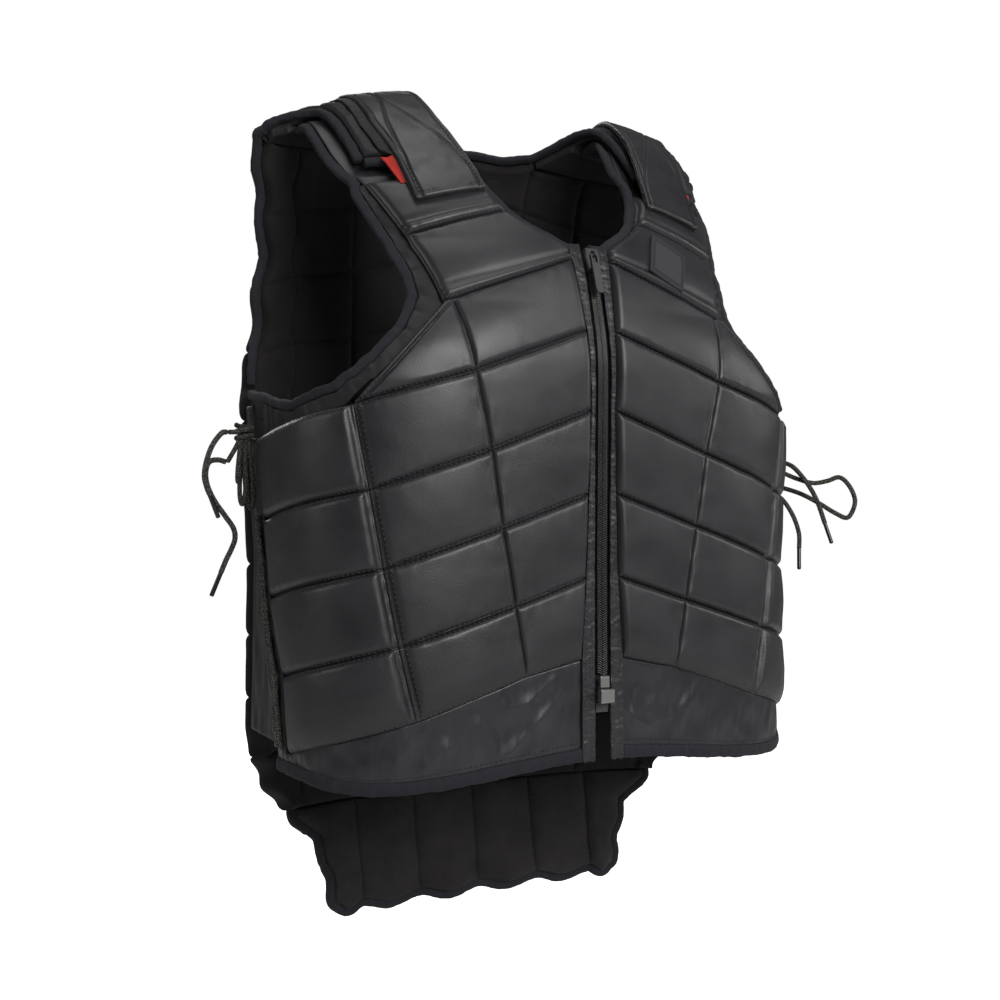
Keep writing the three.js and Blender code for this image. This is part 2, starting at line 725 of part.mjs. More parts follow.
function backPlace(row, column) {
  const x = column * back_column;
  const slope = back_row_slope * clamp(row / 3, 0, 1);
  const level = back_foot + row * back_pitch + slope * (2 * back_column - x);
  const top = backTop(column);
  const w = row === back_rows ? top : Math.min(level, top - top_margin);
  const edge = read(back_edge, "up", w / back_pitch, "out") * back_girth;
  const s = column >= 3 ? lerp(3 * back_column, edge, column - 3) : Math.min(x, (edge * column) / 3.6);
  return [s, w];
}

function backPanel() {
  const half = 8;
  return slab(2 * back_rows + 1, 2 * half + 1, (i, j) => {
    const row = i / 2;
    const column = Math.abs(j - half) / 2;
    const side = j < half ? -1 : 1;
    const [s, w] = backPlace(row, column);
    const place = frame(backPoint, s, w, side);
    const border = i === 0 || i === 2 * back_rows || j === 0 || j === 2 * half;
    const seam = i % 2 === 0 || j % 2 === 0;
    const out = border ? -edge_sink : seam ? -groove_depth / 2 : crown;
    const inner = -pad_thickness + (border ? edge_sink : seam ? lining_dent : 0);
    return [lifted(place, out), lifted(place, inner)];
  });
}

function tailPlace(down, column) {
  const edge = read(tail_edge, "down", down, "out") * back_girth;
  return [(edge * column) / 3, lerp(back_foot - gap, -tail_foot, down)];
}

function backTail() {
  const half = 6;
  const steps = 5;
  return slab(steps + 1, 2 * half + 1, (i, j) => {
    const column = Math.abs(j - half) / 2;
    const [s, w] = tailPlace(i / steps, column);
    const place = frame(backPoint, s, w, j < half ? -1 : 1);
    const border = i === 0 || i === steps || j === 0 || j === 2 * half;
    const seam = j % 2 === 0;
    const out = border ? -edge_sink : seam ? -3.5 : crown;
    const inner = -tail_thickness - 2 + (border ? edge_sink - 2 : seam ? lining_dent : 0);
    return [lifted(place, out), lifted(place, inner)];
  });
}

function tailBinding() {
  const places = [];
  const steps = 5;
  for (let i = 0; i <= steps; i += 1) places.push([i / steps, 3, -1]);
  const across = 10;
  for (let i = 1; i < across; i += 1) places.push([1, Math.abs(3 - (6 * i) / across), i < across / 2 ? -1 : 1]);
  for (let i = steps; i >= 0; i -= 1) places.push([i / steps, 3, 1]);
  const frames = places.map(([down, column, side]) => {
    const [s, w] = tailPlace(down, column);
    return frame(backPoint, s, w, side);
  });
  return bar(run(frames, -1), binding_section);
}

// The rear edge of the sides: the back panel's edge up to the shoulder seam.
function backArmFrames(side) {
  const places = [];
  for (let row = arm_row; row <= back_rows; row += 0.5) {
    const [s, w] = backPlace(row, 4);
    places.push(frame(backPoint, s + 3 * gap, w, side));
  }
  return places;
}

// Levels along the shoulder, in millimetres from the crest, over 0 in front. The flap, the
// strap and its patch share them, so that they nest.
const front_levels = [0.16, 0.35, 0.54, 0.76, 1].map((share) => share * flap_front_length);
const flap_levels = [-flap_back_length + flap_seam_gap, -strap_back_length, -tab_past_crest - 1.5, 0, ...front_levels];
const strap_levels = [-strap_back_length, -tab_past_crest - 1.5, 0, ...front_levels,
  (flap_front_length + strap_front_length) / 2, strap_front_length];

function alongShare(v, front, back) {
  return v < 0 ? v / back : v / front;
}

function flapPlace(v, column) {
  const along = alongShare(v, flap_front_length, flap_back_length);
  const neck = read(flap_outline, "along", along, "neck") * column_width;
  const arm = read(flap_outline, "along", along, "arm") * column_width;
  return [lerp(neck, arm, column), v];
}

function shoulderFlap(side) {
  const columns = [0, 0.12, 0.5, 0.88, 1];
  return slab(flap_levels.length, columns.length, (i, j) => {
    const [x, v] = flapPlace(flap_levels[i], columns[j]);
    const place = frame(shoulderPoint, x, v, side);
    const border = j === 0 || j === columns.length - 1;
    const full = v < -tab_past_crest - 2 ? 1 : 0;
    const out = border || i === 0 ? -2 : crown / 2;
    const thick = lerp(flap_thickness, pad_thickness - (i === 0 ? edge_sink : 0), full);
    return [lifted(place, out), lifted(place, -thick)];
  });
}

// The rear binding: up the back's armhole, over the shoulder and across the flap's end.
function backArmBinding(side) {
  const places = backArmFrames(side);
  flap_levels.forEach((v) => {
    const place = frame(shoulderPoint, ...flapPlace(v, 1), side);
    place.point.addScaledVector(place.normal, 3 * eased(v, -flap_back_length, -tab_past_crest));
    places.push(place);
  });
  return bar(run(places, -side), binding_section);
}

function flapEndBinding(side) {
  const places = [];
  const steps = 3;
  for (let i = 0; i <= steps; i += 1) {
    const place = frame(shoulderPoint, ...flapPlace(flap_front_length, 1 - i / steps), side);
    place.point.addScaledVector(place.normal, 3);
    places.push(place);
  }
  const section = [[gap, -edge_sink], [7, -edge_sink], [7, -edge_sink - 5], [gap, -edge_sink - 5]];
  return bar(run(places, -side), section);
}

// The neck's rear binding: over one shoulder, round the back of the neck, over the other.
function backNeckBinding() {
  const places = [];
  const over = (side) => {
    return flap_levels.map((v) => {
      const place = frame(shoulderPoint, ...flapPlace(v, 0), side);
      place.point.addScaledVector(place.normal, 3 * eased(v, -flap_back_length, -tab_past_crest));
      return place;
    });
  };
  places.push(...over(-1).reverse());
  [-0.5, 0, 0.5].forEach((column) => {
    const [s, w] = backPlace(back_rows, Math.abs(column));
    places.push(frame(backPoint, s, w + 2 * gap, column < 0 ? -1 : 1));
  });
  places.push(...over(1));
  return bar(run(places, 1), binding_section);
}

function strapPlace(v, column, proud) {
  const along = alongShare(v, strap_front_length, strap_back_length);
  const middle = read(strap_line, "along", along, "out") * column_width;
  const half = strap_width / 2;
  const skew = strap_skew * eased(v, flap_front_length, strap_front_length) * (0.5 - column);
  return [middle + lerp(-half, half + proud, column), v - skew];
}

// The strap and the patch under it: plain cloth, one above the other.
function strapCloth(side, proud, base, wall) {
  return slab(strap_levels.length, 4, (i, j) => {
    const place = frame(shoulderPoint, ...strapPlace(strap_levels[i], j / 3, proud), side);
    return [lifted(place, base + wall), lifted(place, base)];
  });
}

function redTab(side) {
  const start = flap_front_length + tab_past_flap;
  return slab(4, 3, (i, j) => {
    const v = start + (tab_red_length * i) / 3;
    const x = 1.33 * column_width + lerp(-12, 12, j / 2) - 0.35 * (v - start);
    const place = frame(shoulderPoint, x, v, side);
    return [lifted(place, 0.8), lifted(place, 0.8 - tab_red_wall)];
  });
}

// The cloth behind the lacing, from the laced edge round to the back panel.
function sideStrip(side) {
  const rows = 9;
  const columns = 5;
  return slab(rows, columns, (i, j) => {
    const row = (4 * i) / (rows - 1);
    const start = lacePlace(row, 1);
    const w = start[1];
    const edge = read(back_edge, "up", w / back_pitch, "out") * back_girth;
    const p = lerp(start[0] + gap, front_girth + back_girth - edge - seam_gap, j / (columns - 1));
    const level = row === 4 ? gussetLines().far[gusset_outline.length - 1][1] - gap : w;
    const place = frame(sidePoint, p, level, side);
    return [lifted(place, -side_strip_sink), lifted(place, -side_strip_sink - gusset_wall)];
  });
}

function zipFacing(side) {
  const levels = [];
  for (let row = 0; row <= 5; row += 0.5) levels.push(frontPlace(row, 0));
  levels.push([frontPlace(collar_row, 0)[0], frontPlace(collar_row, 0)[1] - gap]);
  const foot = hemLevel(0) + gap;
  levels.unshift([levels[0][0], lerp(foot, levels[0][1], 0.5)]);
  levels.unshift([levels[0][0], foot]);
  return slab(levels.length, 2, (i, j) => {
    const [edge, w] = levels[i];
    const place = frame(frontPoint, j === 0 ? facing_inner : edge - gap, w, side);
    return [lifted(place, -facing_sink), lifted(place, -facing_sink - facing_wall)];
  });
}

const zip_foot = frontPlace(0, 0)[1] - zip_past_foam;
const slider_foot = zip_top - slider_length;
const slider_wall = chain_sink + chain_wall + slider_proud;
const pull_level = slider_length * 0.6;

function zipRun(foot, top, steps, half, out, wall) {
  return slab(steps + 1, 3, (i, j) => {
    const s = (j - 1) * half;
    const place = frame(frontPoint, Math.abs(s), lerp(foot, top, i / steps), s < 0 ? -1 : 1);
    return [lifted(place, out), lifted(place, out - wall)];
  });
}

// A piece of the zip drawn in its own plane, laid on the front at a height.
function onZip(mesh, w, out) {
  const place = frame(frontPoint, 0.5, w, 1);
  const tilt = Math.atan2(place.up.y, place.up.z);
  mesh.position.copy(frontPoint(0, w)).addScaledVector(new THREE.Vector3(0, -Math.cos(tilt), Math.sin(tilt)), out);
  mesh.rotation.x = -tilt;
  return mesh;
}

// A plate from an outline across and along the zip, thick towards the front.
function plate(outline, holes, wall, bevel) {
  const shape = new THREE.Shape(outline.map(([x, z]) => new THREE.Vector2(x, z)));
  holes.forEach((hole) => shape.holes.push(new THREE.Path(hole.map(([x, z]) => new THREE.Vector2(x, z)))));
  const body = new THREE.ExtrudeGeometry(shape, {
    depth: wall - 2 * bevel, bevelEnabled: bevel > 0, bevelSize: bevel, bevelThickness: bevel,
    bevelSegments: 1, bevelOffset: -bevel,
  });
  body.translate(0, 0, bevel);
  body.rotateX(Math.PI / 2);
  return body;
}

function rectangle(x0, z0, x1, z1) {
  return [[x0, z0], [x1, z0], [x1, z1], [x0, z1]];
}

// One closed body as a solid for joining.
function solid(geometry) {
  const bare = geometry.clone();
  bare.deleteAttribute("normal");
  if (bare.getAttribute("uv")) bare.deleteAttribute("uv");
  const merged = mergeVertices(bare, 1e-4);
  return new wasm.Manifold(new wasm.Mesh({
    numProp: 3,
    vertProperties: merged.getAttribute("position").array,
    triVerts: new Uint32Array(merged.getIndex().array),
  }));
}

function joined(first, second) {
  const mesh = solid(first).add(solid(second)).getMesh();
  const geometry = new THREE.BufferGeometry();
  geometry.setAttribute("position", new THREE.BufferAttribute(new Float32Array(mesh.vertProperties), 3));
  geometry.setIndex(Array.from(mesh.triVerts));
  geometry.computeVertexNormals();
  return geometry;
}

// The bail: a half ring across the pull's bar, its legs sunk in the slider.
function bailGeometry(level, face) {
  const steps = 8;
  const sunk = 1;
  const inner = bail_radius - bail_bar;
  const shape = new THREE.Shape();
  shape.moveTo(bail_radius, -sunk);
  for (let i = 0; i <= steps; i += 1) {
    const turn = (Math.PI * i) / steps;
    shape.lineTo(bail_radius * Math.cos(turn), bail_radius * Math.sin(turn));
  }
  shape.lineTo(-bail_radius, -sunk);
  shape.lineTo(-inner, -sunk);
  for (let i = steps; i >= 0; i -= 1) {
    const turn = (Math.PI * i) / steps;
    shape.lineTo(inner * Math.cos(turn), inner * Math.sin(turn));
  }
  shape.lineTo(inner, -sunk);
  const body = new THREE.ExtrudeGeometry(shape, { depth: bail_wall, bevelEnabled: false });
  body.translate(0, 0, -bail_wall / 2);
  body.rotateY(Math.PI / 2);
  body.rotateX(Math.PI / 2);
  body.translate(0, -face, level);
  return body;
}

// The slider: a block narrowed at its foot, with the pull's bail standing on it.
function sliderGeometry() {
  const half = slider_width / 2;
  const top = slider_length;
  const outline = [
    [-half * 0.8, 0], [half * 0.8, 0], [half, top * 0.55], [half * 0.85, top], [-half * 0.85, top], [-half, top * 0.55],
  ];
  const block = plate(outline, [], slider_wall, 0.8);
  return joined(block, bailGeometry(pull_level, slider_wall));
}

// The pull: a plate whose top bar runs through the bail, at the local origin.
function pullGeometry() {
  const half = pull_width / 2;
  const bar_half = 0.7;
  const eye = 5.4;
  const foot = -pull_length;
  const outline = [
    [-half * 0.75, bar_half], [-half * 0.75, foot + 3], [-half * 0.5, foot], [half * 0.5, foot],
    [half * 0.75, foot + 3], [half * 0.75, bar_half],
  ];
  const slot = [[-1.7, -bar_half], [1.7, -bar_half], [1.7, -eye], [-1.7, -eye]];
  const body = plate(outline, [slot], pull_wall, 0);
  body.translate(0, pull_wall / 2, 0);
  return body;
}

function boxGeometry() {
  return plate(rectangle(-box_width / 2, 0, box_width / 2, box_length), [], box_wall, 0.7);
}

function pinGeometry() {
  return plate(rectangle(-chain_width * 0.45, 0, chain_width * 0.45, pin_length), [], chain_wall, 0.6);
}

function badgePlate() {
  const steps = 3;
  const half = badge_side / 2;
  return slab(steps, steps, (i, j) => {
    const u = lerp(-half, half, j / (steps - 1));
    const v = lerp(-half, half, i / (steps - 1));
    const s = badge_out + u * Math.cos(badge_turn) - v * Math.sin(badge_turn);
    const w = badge_up + u * Math.sin(badge_turn) + v * Math.cos(badge_turn);
    const place = frame(frontPoint, s, w, 1);
    const base = crown - 2 * gap;
    return [lifted(place, base + badge_wall), lifted(place, base)];
  });
}

// A round cord through points: an octagon carried along a smooth curve.
function cord(points, steps, diameter) {
  const sides_count = 8;
  const shape = new THREE.Shape();
  for (let i = 0; i < sides_count; i += 1) {
    const turn = (2 * Math.PI * i) / sides_count;
    const x = (diameter / 2) * Math.cos(turn);
    const y = (diameter / 2) * Math.sin(turn);
    if (i === 0) shape.moveTo(x, y);
    else shape.lineTo(x, y);
  }
  const path = new THREE.CatmullRomCurve3(points);
  return new THREE.ExtrudeGeometry(shape, { steps, extrudePath: path, bevelEnabled: false });
}

function vectors(points) {
  return points.map(([x, y, z]) => new THREE.Vector3(x, y, z));
}

// The held lacing runs to and fro between the laced edge and the back panel's edge.
function lacingPoints(side) {
  const points = [];
  for (let i = 0; i <= lace_turns; i += 1) {
    const row = lerp(lacing_top_row, lacing_foot_row, i / lace_turns);
    const [s, w] = lacePlace(row, 1);
    const p = i % 2 === 0 ? s - 3 : s + 14;
    const place = frame(sidePoint, p, w, side);
    points.push(lifted(place, -lace_edge_sink + 2 * gap + lace_diameter / 2));
  }
  return points;
}

// The tied bow and its knot, as one bundle of strands beside the laced edge.
function bowGeometry(side) {
  const half = bow_width / 2;
  const outline = [
    [-0.4, 0], [0.5, 0.02], [1, 0.22], [0.95, 0.86], [0.4, 1], [-0.5, 0.76], [-1, 0.3],
  ];
  const shape = new THREE.Shape(outline.map(([out, down]) => new THREE.Vector2(side * out * half, -down * bow_length)));
  const body = new THREE.ExtrudeGeometry(shape, {
    depth: bow_thickness - 4, bevelEnabled: true, bevelSize: 2, bevelThickness: 2, bevelSegments: 1, bevelOffset: -2,
  });
  body.translate(0, 0, 2 - bow_thickness / 2);
  body.rotateX(Math.PI / 2);
  return body;
}

function placeBow(mesh, side) {
  const rows = [2.9, 3.2, 3.6, 4];
  const edges = rows.map((row) => lifted(frame(frontPoint, ...lacePlace(row, 1), 1), -lace_edge_sink).x);
  const inner = Math.max(...edges) + gap;
  mesh.position.set(side * (inner + bow_width / 2), -bow_forward, bow_top);
}

function aglet(points) {
  const list = vectors(points);
  const end = list[list.length - 1];
  const way = end.clone().sub(list[list.length - 2]).normalize();
  const start = end.clone().addScaledVector(way, gap);
  const stop = start.clone().addScaledVector(way, aglet_length);
  return cord([start, stop], 1, aglet_diameter);
}

sides.forEach(({ name, sign }) => {
  add(`front_panel_${name}`, frontPanel(sign), outer_black);
  add(`side_panel_${name}`, sidePanel(sign), outer_black);
  add(`side_edge_${name}`, sideEdge(sign), outer_black);
  add(`front_skirt_${name}`, frontSkirt(sign), nylon_black);
  add(`hem_binding_${name}`, hemBinding(sign), binding_grey);
  add(`gusset_${name}`, gusset(sign), lining_black);
  add(`armhole_binding_${name}`, frontArmBinding(sign), binding_grey);
  add(`neck_binding_${name}`, frontNeckBinding(sign), binding_grey);
  add(`shoulder_flap_${name}`, shoulderFlap(sign), outer_black);
  add(`back_arm_binding_${name}`, backArmBinding(sign), binding_grey);
  add(`flap_end_binding_${name}`, flapEndBinding(sign), binding_grey);
  add(`strap_${name}`, strapCloth(sign, 0, crown + patch_wall + 2 * gap, strap_wall), outer_black);
  add(`strap_patch_${name}`, strapCloth(sign, patch_proud, crown + gap, patch_wall), hook_black);
  add(`red_tab_${name}`, redTab(sign), signal_red);
  add(`side_strip_${name}`, sideStrip(sign), binding_grey);
  add(`zip_facing_${name}`, zipFacing(sign), outer_black);
  add(`side_lacing_${name}`, cord(lacingPoints(sign), 3 * lace_turns, lace_diameter), lace_black);
  placeBow(add(`lace_bow_${name}`, bowGeometry(sign), lace_black), sign);
});

add("back_panel", backPanel(), lining_black);
add("back_tail", backTail(), lining_black);
add("tail_binding", tailBinding(), binding_grey);
add("neck_binding_back", backNeckBinding(), binding_grey);
add("zip_tape", zipRun(zip_foot, zip_top, 16, tape_half_width, -chain_sink - chain_wall - gap, tape_wall), binding_grey);
add("zip_chain", zipRun(zip_foot + pin_length + gap, slider_foot - gap, 15, chain_width / 2, -chain_sink, chain_wall), gunmetal);
const slider = onZip(add("zip_slider", sliderGeometry(), gunmetal), slider_foot, -chain_sink - chain_wall);
const pull = add("zip_pull", pullGeometry(), gunmetal);
pull.rotation.copy(slider.rotation);
pull.position.set(0, -slider_wall - pull_lift, pull_level).applyEuler(slider.rotation).add(slider.position);
onZip(add("zip_pins", pinGeometry(), pale_metal), zip_foot, -chain_sink);
onZip(add("zip_box", boxGeometry(), pale_metal), zip_foot - box_length - gap, -1.5);
add("badge", badgePlate(), badge_rubber);
add("lace_right_long", cord(vectors(right_long_points), 16, lace_diameter), lace_black);
add("lace_right_short", cord(vectors(right_short_points), 9, lace_diameter), lace_black);
add("lace_left_long", cord(vectors(left_long_points), 9, lace_diameter), lace_black);
add("lace_left_short", cord(vectors(left_short_points), 10, lace_diameter), lace_black);
add("lace_left_loop", cord(vectors(left_loop_points), 22, lace_diameter), lace_black);
add("aglet_right_long", aglet(right_long_points), aglet_black);
add("aglet_right_short", aglet(right_short_points), aglet_black);
add("aglet_left_long", aglet(left_long_points), aglet_black);
add("aglet_left_short", aglet(left_short_points), aglet_black);

export default vest;
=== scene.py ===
"""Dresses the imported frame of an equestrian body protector: padding, cloth, zip, laces and light."""

from __future__ import annotations

import json
import logging
import math
from dataclasses import dataclass, field
from enum import Enum
from typing import Callable, Sequence

import bpy
import numpy as np
from mathutils import Matrix, Vector

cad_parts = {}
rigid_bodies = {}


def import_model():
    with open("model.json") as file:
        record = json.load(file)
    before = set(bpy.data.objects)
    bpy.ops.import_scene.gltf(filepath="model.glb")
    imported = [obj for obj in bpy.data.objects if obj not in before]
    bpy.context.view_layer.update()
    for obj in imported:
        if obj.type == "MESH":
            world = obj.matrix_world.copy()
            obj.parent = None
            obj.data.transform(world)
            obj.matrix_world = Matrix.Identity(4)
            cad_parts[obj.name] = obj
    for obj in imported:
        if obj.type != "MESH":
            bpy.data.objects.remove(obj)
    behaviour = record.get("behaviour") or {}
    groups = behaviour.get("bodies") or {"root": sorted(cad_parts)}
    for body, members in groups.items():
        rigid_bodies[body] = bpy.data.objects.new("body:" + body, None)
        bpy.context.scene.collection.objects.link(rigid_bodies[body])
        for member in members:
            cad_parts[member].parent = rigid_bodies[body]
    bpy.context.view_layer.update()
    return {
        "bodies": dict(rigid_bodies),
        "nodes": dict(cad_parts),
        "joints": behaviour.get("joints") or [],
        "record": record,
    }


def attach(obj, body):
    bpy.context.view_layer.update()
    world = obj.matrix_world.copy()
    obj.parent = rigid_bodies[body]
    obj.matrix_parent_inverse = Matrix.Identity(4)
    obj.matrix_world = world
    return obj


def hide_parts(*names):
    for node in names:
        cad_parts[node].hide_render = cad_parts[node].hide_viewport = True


Array = np.ndarray
Surface = Callable[[Array, Array], Array]
LOG = logging.getLogger("body_protector")
MM = 0.001
GAP = 0.3


class Side(Enum):
    """The wearer's side that a piece is on; the value is the sign of x."""

    RIGHT = -1
    LEFT = 1

    @property
    def word(self) -> str:
        """The side's name in node names."""
        return self.name.lower()


def paired(a: Array | float, b: Array | float) -> tuple[Array, Array]:
    """Both as numbers in arrays of one shape."""
    return np.broadcast_arrays(np.asarray(a, float), np.asarray(b, float))


def lerp(a: Array | float, b: Array | float, t: Array | float) -> Array | float:
    """Straight blend from a to b by the share t."""
    return a + (b - a) * t


def eased(value: Array | float, low: float, high: float) -> Array:
    """Smooth step from 0 at low to 1 at high: t squared times three minus twice t."""
    t = np.clip((np.asarray(value, float) - low) / (high - low), 0.0, 1.0)
    return t * t * (3.0 - 2.0 * t)


def unit(vectors: Array) -> Array:
    """Vectors divided by their lengths."""
    return vectors / np.maximum(np.linalg.norm(vectors, axis=-1, keepdims=True), 1e-12)


def ripple(x: Array, y: Array, seed: int) -> Array:
    """Smooth value noise from -1 to 1: random heights on a unit lattice, blended by smooth steps.

    Args:
        x: Places along the first way, in lattice cells.
        y: Places along the second way, in lattice cells.
        seed: The lattice's seed.

    Returns:
        Heights of the same shape as x and y together.
    """
    table = np.random.default_rng(seed).random((128, 128)) * 2.0 - 1.0
    x, y = paired(x, y)
    xi, yi = np.floor(x).astype(int), np.floor(y).astype(int)
    fx, fy = x - xi, y - yi
    fx, fy = fx * fx * (3 - 2 * fx), fy * fy * (3 - 2 * fy)
    x0, x1, y0, y1 = xi % 128, (xi + 1) % 128, yi % 128, (yi + 1) % 128
    low = lerp(table[x0, y0], table[x1, y0], fx)
    high = lerp(table[x0, y1], table[x1, y1], fx)
    return lerp(low, high, fy)


def waves(x: Array, y: Array, *layers: tuple[float, float, float, int], turned: bool = False) -> Array:
    """Sum of ripples.

    Args:
        x: Places along the first way in millimetres.
        y: Places along the second way in millimetres.
        layers: Height, cell size along x and along y, and seed of each ripple.
        turned: Whether the lattice's first way is y.

    Returns:
        Heights in millimetres.
    """
    pairs = [(height, (x / a, y / b), seed) for height, a, b, seed in layers]
    return sum(height * ripple(*(place[::-1] if turned else place), seed) for height, place, seed in pairs)


def quarter(share: Array) -> Array:
    """Depth of a quarter round: 1 where the share is 0, and 0 from where it is 1."""
    return 1 - np.sqrt(np.clip(1 - (1 - np.clip(share, 0, 1)) ** 2, 0, 1))


def spline(points: Array, steps: int) -> Array:
    """Catmull-Rom curve through points: each span bends with the half difference of its neighbours.

    Args:
        points: The points, one a row.
        steps: Steps in each span.

    Returns:
        The curve's points, one a row.
    """
    padded = np.vstack([points[:1], points, points[-1:]])
    t = np.linspace(0.0, 1.0, steps, endpoint=False)[:, None, None]
    p0, p1, p2, p3 = padded[:-3], padded[1:-2], padded[2:-1], padded[3:]
    v0, v1 = (p2 - p0) * 0.5, (p3 - p1) * 0.5
    spans = (2 * p1 - 2 * p2 + v0 + v1) * t**3 + (-3 * p1 + 3 * p2 - 2 * v0 - v1) * t**2 + v0 * t + p1
    flat = np.transpose(spans, (1, 0, 2)).reshape(-1, points.shape[1])
    return np.vstack([flat, points[-1:]])


def even(points: Array, spacing: float) -> Array:
    """A path's points moved to even steps of about the spacing along its first three columns."""
    length = np.concatenate([[0.0], np.cumsum(np.linalg.norm(np.diff(points[:, :3], axis=0), axis=1))])
    count = max(2, int(round(length[-1] / spacing)) + 1)
    at = np.linspace(0.0, length[-1], count)
    return np.stack([np.interp(at, length, points[:, k]) for k in range(points.shape[1])], -1)


@dataclass
class Table:
    """A short table of named columns, read straight between its rows.

    Args:
        names: The columns' names; the first is the key.
        rows: The rows.
    """

    names: Sequence[str]
    rows: Sequence[Sequence[float]]

    def read(self, at: Array | float, name: str) -> Array:
        """The named column at places of the key column."""
        data = np.array(self.rows, float)
        return np.interp(at, data[:, 0], data[:, list(self.names).index(name)])


@dataclass
class BodyForm:
    """The filled-out shape that every cloth pattern lies on, in millimetres.

    A pattern point has a distance s round the body from the middle and a height w along the
    cloth from the armpit level. The plan is a superellipse quarter, and the side view is one
    smooth curve over the shoulder that scales the plan's depth.
    """

    half_width: float = 197.0
    chest_depth: float = 145.0
    back_depth: float = 84.0
    front_power: float = 3.9
    back_power: float = 2.5
    shoulder_power: float = 2.0
    armpit_drop: float = 190.0
    pad: float = 16.0
    slope: float = 0.2
    slope_middle: float = 105.0
    tail_drop: float = 385.0
    row_pitch: float = 52.5
    front_rows: tuple = (
        (0, 1), (0.1, 0.995), (0.22, 0.96), (0.41, 0.875), (0.57, 0.73), (0.74, 0.54), (0.88, 0.34), (0.97, 0.16),
    )
    back_rows: tuple = (
        (0.985, 0.27), (0.95, 0.5), (0.9, 0.72), (0.8, 0.86), (0.65, 0.94), (0.45, 0.98), (0.2, 1), (0, 1),
    )
    girths: Table = field(default_factory=lambda: Table(
        ("down", "width", "front", "back"),
        ((0, 1, 1, 1), (0.3, 0.972, 0.99, 0.93), (0.64, 0.985, 1, 0.86), (0.78, 0.97, 1, 0.8), (1, 0.95, 1, 0.6)),
    ))

    def __post_init__(self) -> None:
        """Works out the plan quarters and the side view once."""
        self.front_plan = self._quarter(self.chest_depth, self.front_power)
        self.back_plan = self._quarter(self.back_depth, self.back_power)
        self.front_girth = float(self.front_plan[-1, 0])
        self.back_girth = float(self.back_plan[-1, 0])
        rise = self.armpit_drop + self.pad
        points = [(-self.chest_depth * d, rise * r) for r, d in self.front_rows] + [(0.0, rise)]
        points += [(self.back_depth * d, rise * r) for r, d in self.back_rows]
        curve = spline(np.array(points, float), 24)
        crest = 24 * len(self.front_rows)
        self.front_side = self._path(curve[: crest + 1], -self.chest_depth)
        self.back_side = self._path(curve[crest:][::-1], self.back_depth)
        self.front_top = float(self.front_side[-1, 0])
        self.back_top = float(self.back_side[-1, 0])

    def _quarter(self, depth: float, power: float) -> Array:
        """Rows of girth, x and y: x is width times sine, y depth times cosine, each to 2 over the power."""
        turn = np.linspace(0.0, math.pi / 2, 241)
        x = self.half_width * np.sin(turn) ** (2 / power)
        y = depth * np.cos(turn) ** (2 / power)
        y[-1] = 0.0
        s = np.concatenate([[0.0], np.cumsum(np.hypot(np.diff(x), np.diff(y)))])
        return np.stack([s, x, y], -1)

    def _path(self, curve: Array, depth: float) -> Array:
        """Rows of path length, depth share and height of one half of the side view."""
        s = np.concatenate([[0.0], np.cumsum(np.linalg.norm(np.diff(curve, axis=0), axis=1))])
        return np.stack([s, curve[:, 0] / depth, curve[:, 1] - self.armpit_drop], -1)

    def _placed(self, x: Array, y: Array, w: Array, side_view: Array, name: str, facing: int) -> Array:
        """Plan points set at their heights: depth scaled by the side view, shoulders sloped down."""
        down = np.clip(-w / self.tail_drop, 0.0, 1.0)
        share = np.where(w < 0, 1.0, np.interp(w, side_view[:, 0], side_view[:, 1]))
        height = np.where(w < 0, w - self.armpit_drop, np.interp(w, side_view[:, 0], side_view[:, 2]))
        height = height - self.slope * (x - self.slope_middle) * (1.0 - share)
        wide = x * self.girths.read(down, "width")
        deep = facing * y * share * self.girths.read(down, name)
        return np.stack([wide, deep, height], -1)

    def back_across(self, x: Array, w: Array) -> Array:
        """Points of the back by x and height."""
        x, w = paired(x, w)
        flat = np.clip(x / self.half_width, 0.0, 1.0)
        y = self.back_depth * (1 - flat**self.back_power) ** (1 / self.back_power)
        return self._placed(x, y, w, self.back_side, "back", 1)

    def back(self, s: Array, w: Array) -> Array:
        """Pattern points of the back."""
        s, w = paired(s, w)
        x, y = (np.interp(s, self.back_plan[:, 0], self.back_plan[:, k]) for k in (1, 2))
        return self._placed(x, y, w, self.back_side, "back", 1)

    def front(self, s: Array, w: Array) -> Array:
        """Pattern points of the front; past the crest they go on down the back."""
        s, w = paired(s, w)
        x = np.interp(s, self.front_plan[:, 0], self.front_plan[:, 1])
        plain = np.interp(s, self.front_plan[:, 0], self.front_plan[:, 2])
        share = np.interp(w / self.row_pitch, (0, 0.95, 1.81), (0, 0.74, 1))
        power = lerp(self.front_power, self.shoulder_power, share)
        bent = self.chest_depth * (1 - np.clip(x / self.half_width, 0, 1) ** power) ** (1 / power)
        near = self._placed(x, np.where(w > 0, bent, plain), w, self.front_side, "front", -1)
        past = self.back_across(x, self.back_top + self.front_top - w)
        return np.where((w > self.front_top)[..., None], past, near)

    def side(self, p: Array, w: Array) -> Array:
        """Round the side below the armhole: the front's girth goes on into the back's."""
        p, w = paired(p, w)
        rear = self.back(self.back_girth - (p - self.front_girth), w)
        return np.where((p <= self.front_girth)[..., None], self.front(p, w), rear)

    def shoulder(self, x: Array, v: Array) -> Array:
        """Across the shoulder: x from the middle, v along it from the crest, over 0 in front."""
        x, v = paired(x, v)
        rear = self.back_across(x, self.back_top + v)
        return np.where((v < 0)[..., None], rear, self.front(x, self.front_top - v))

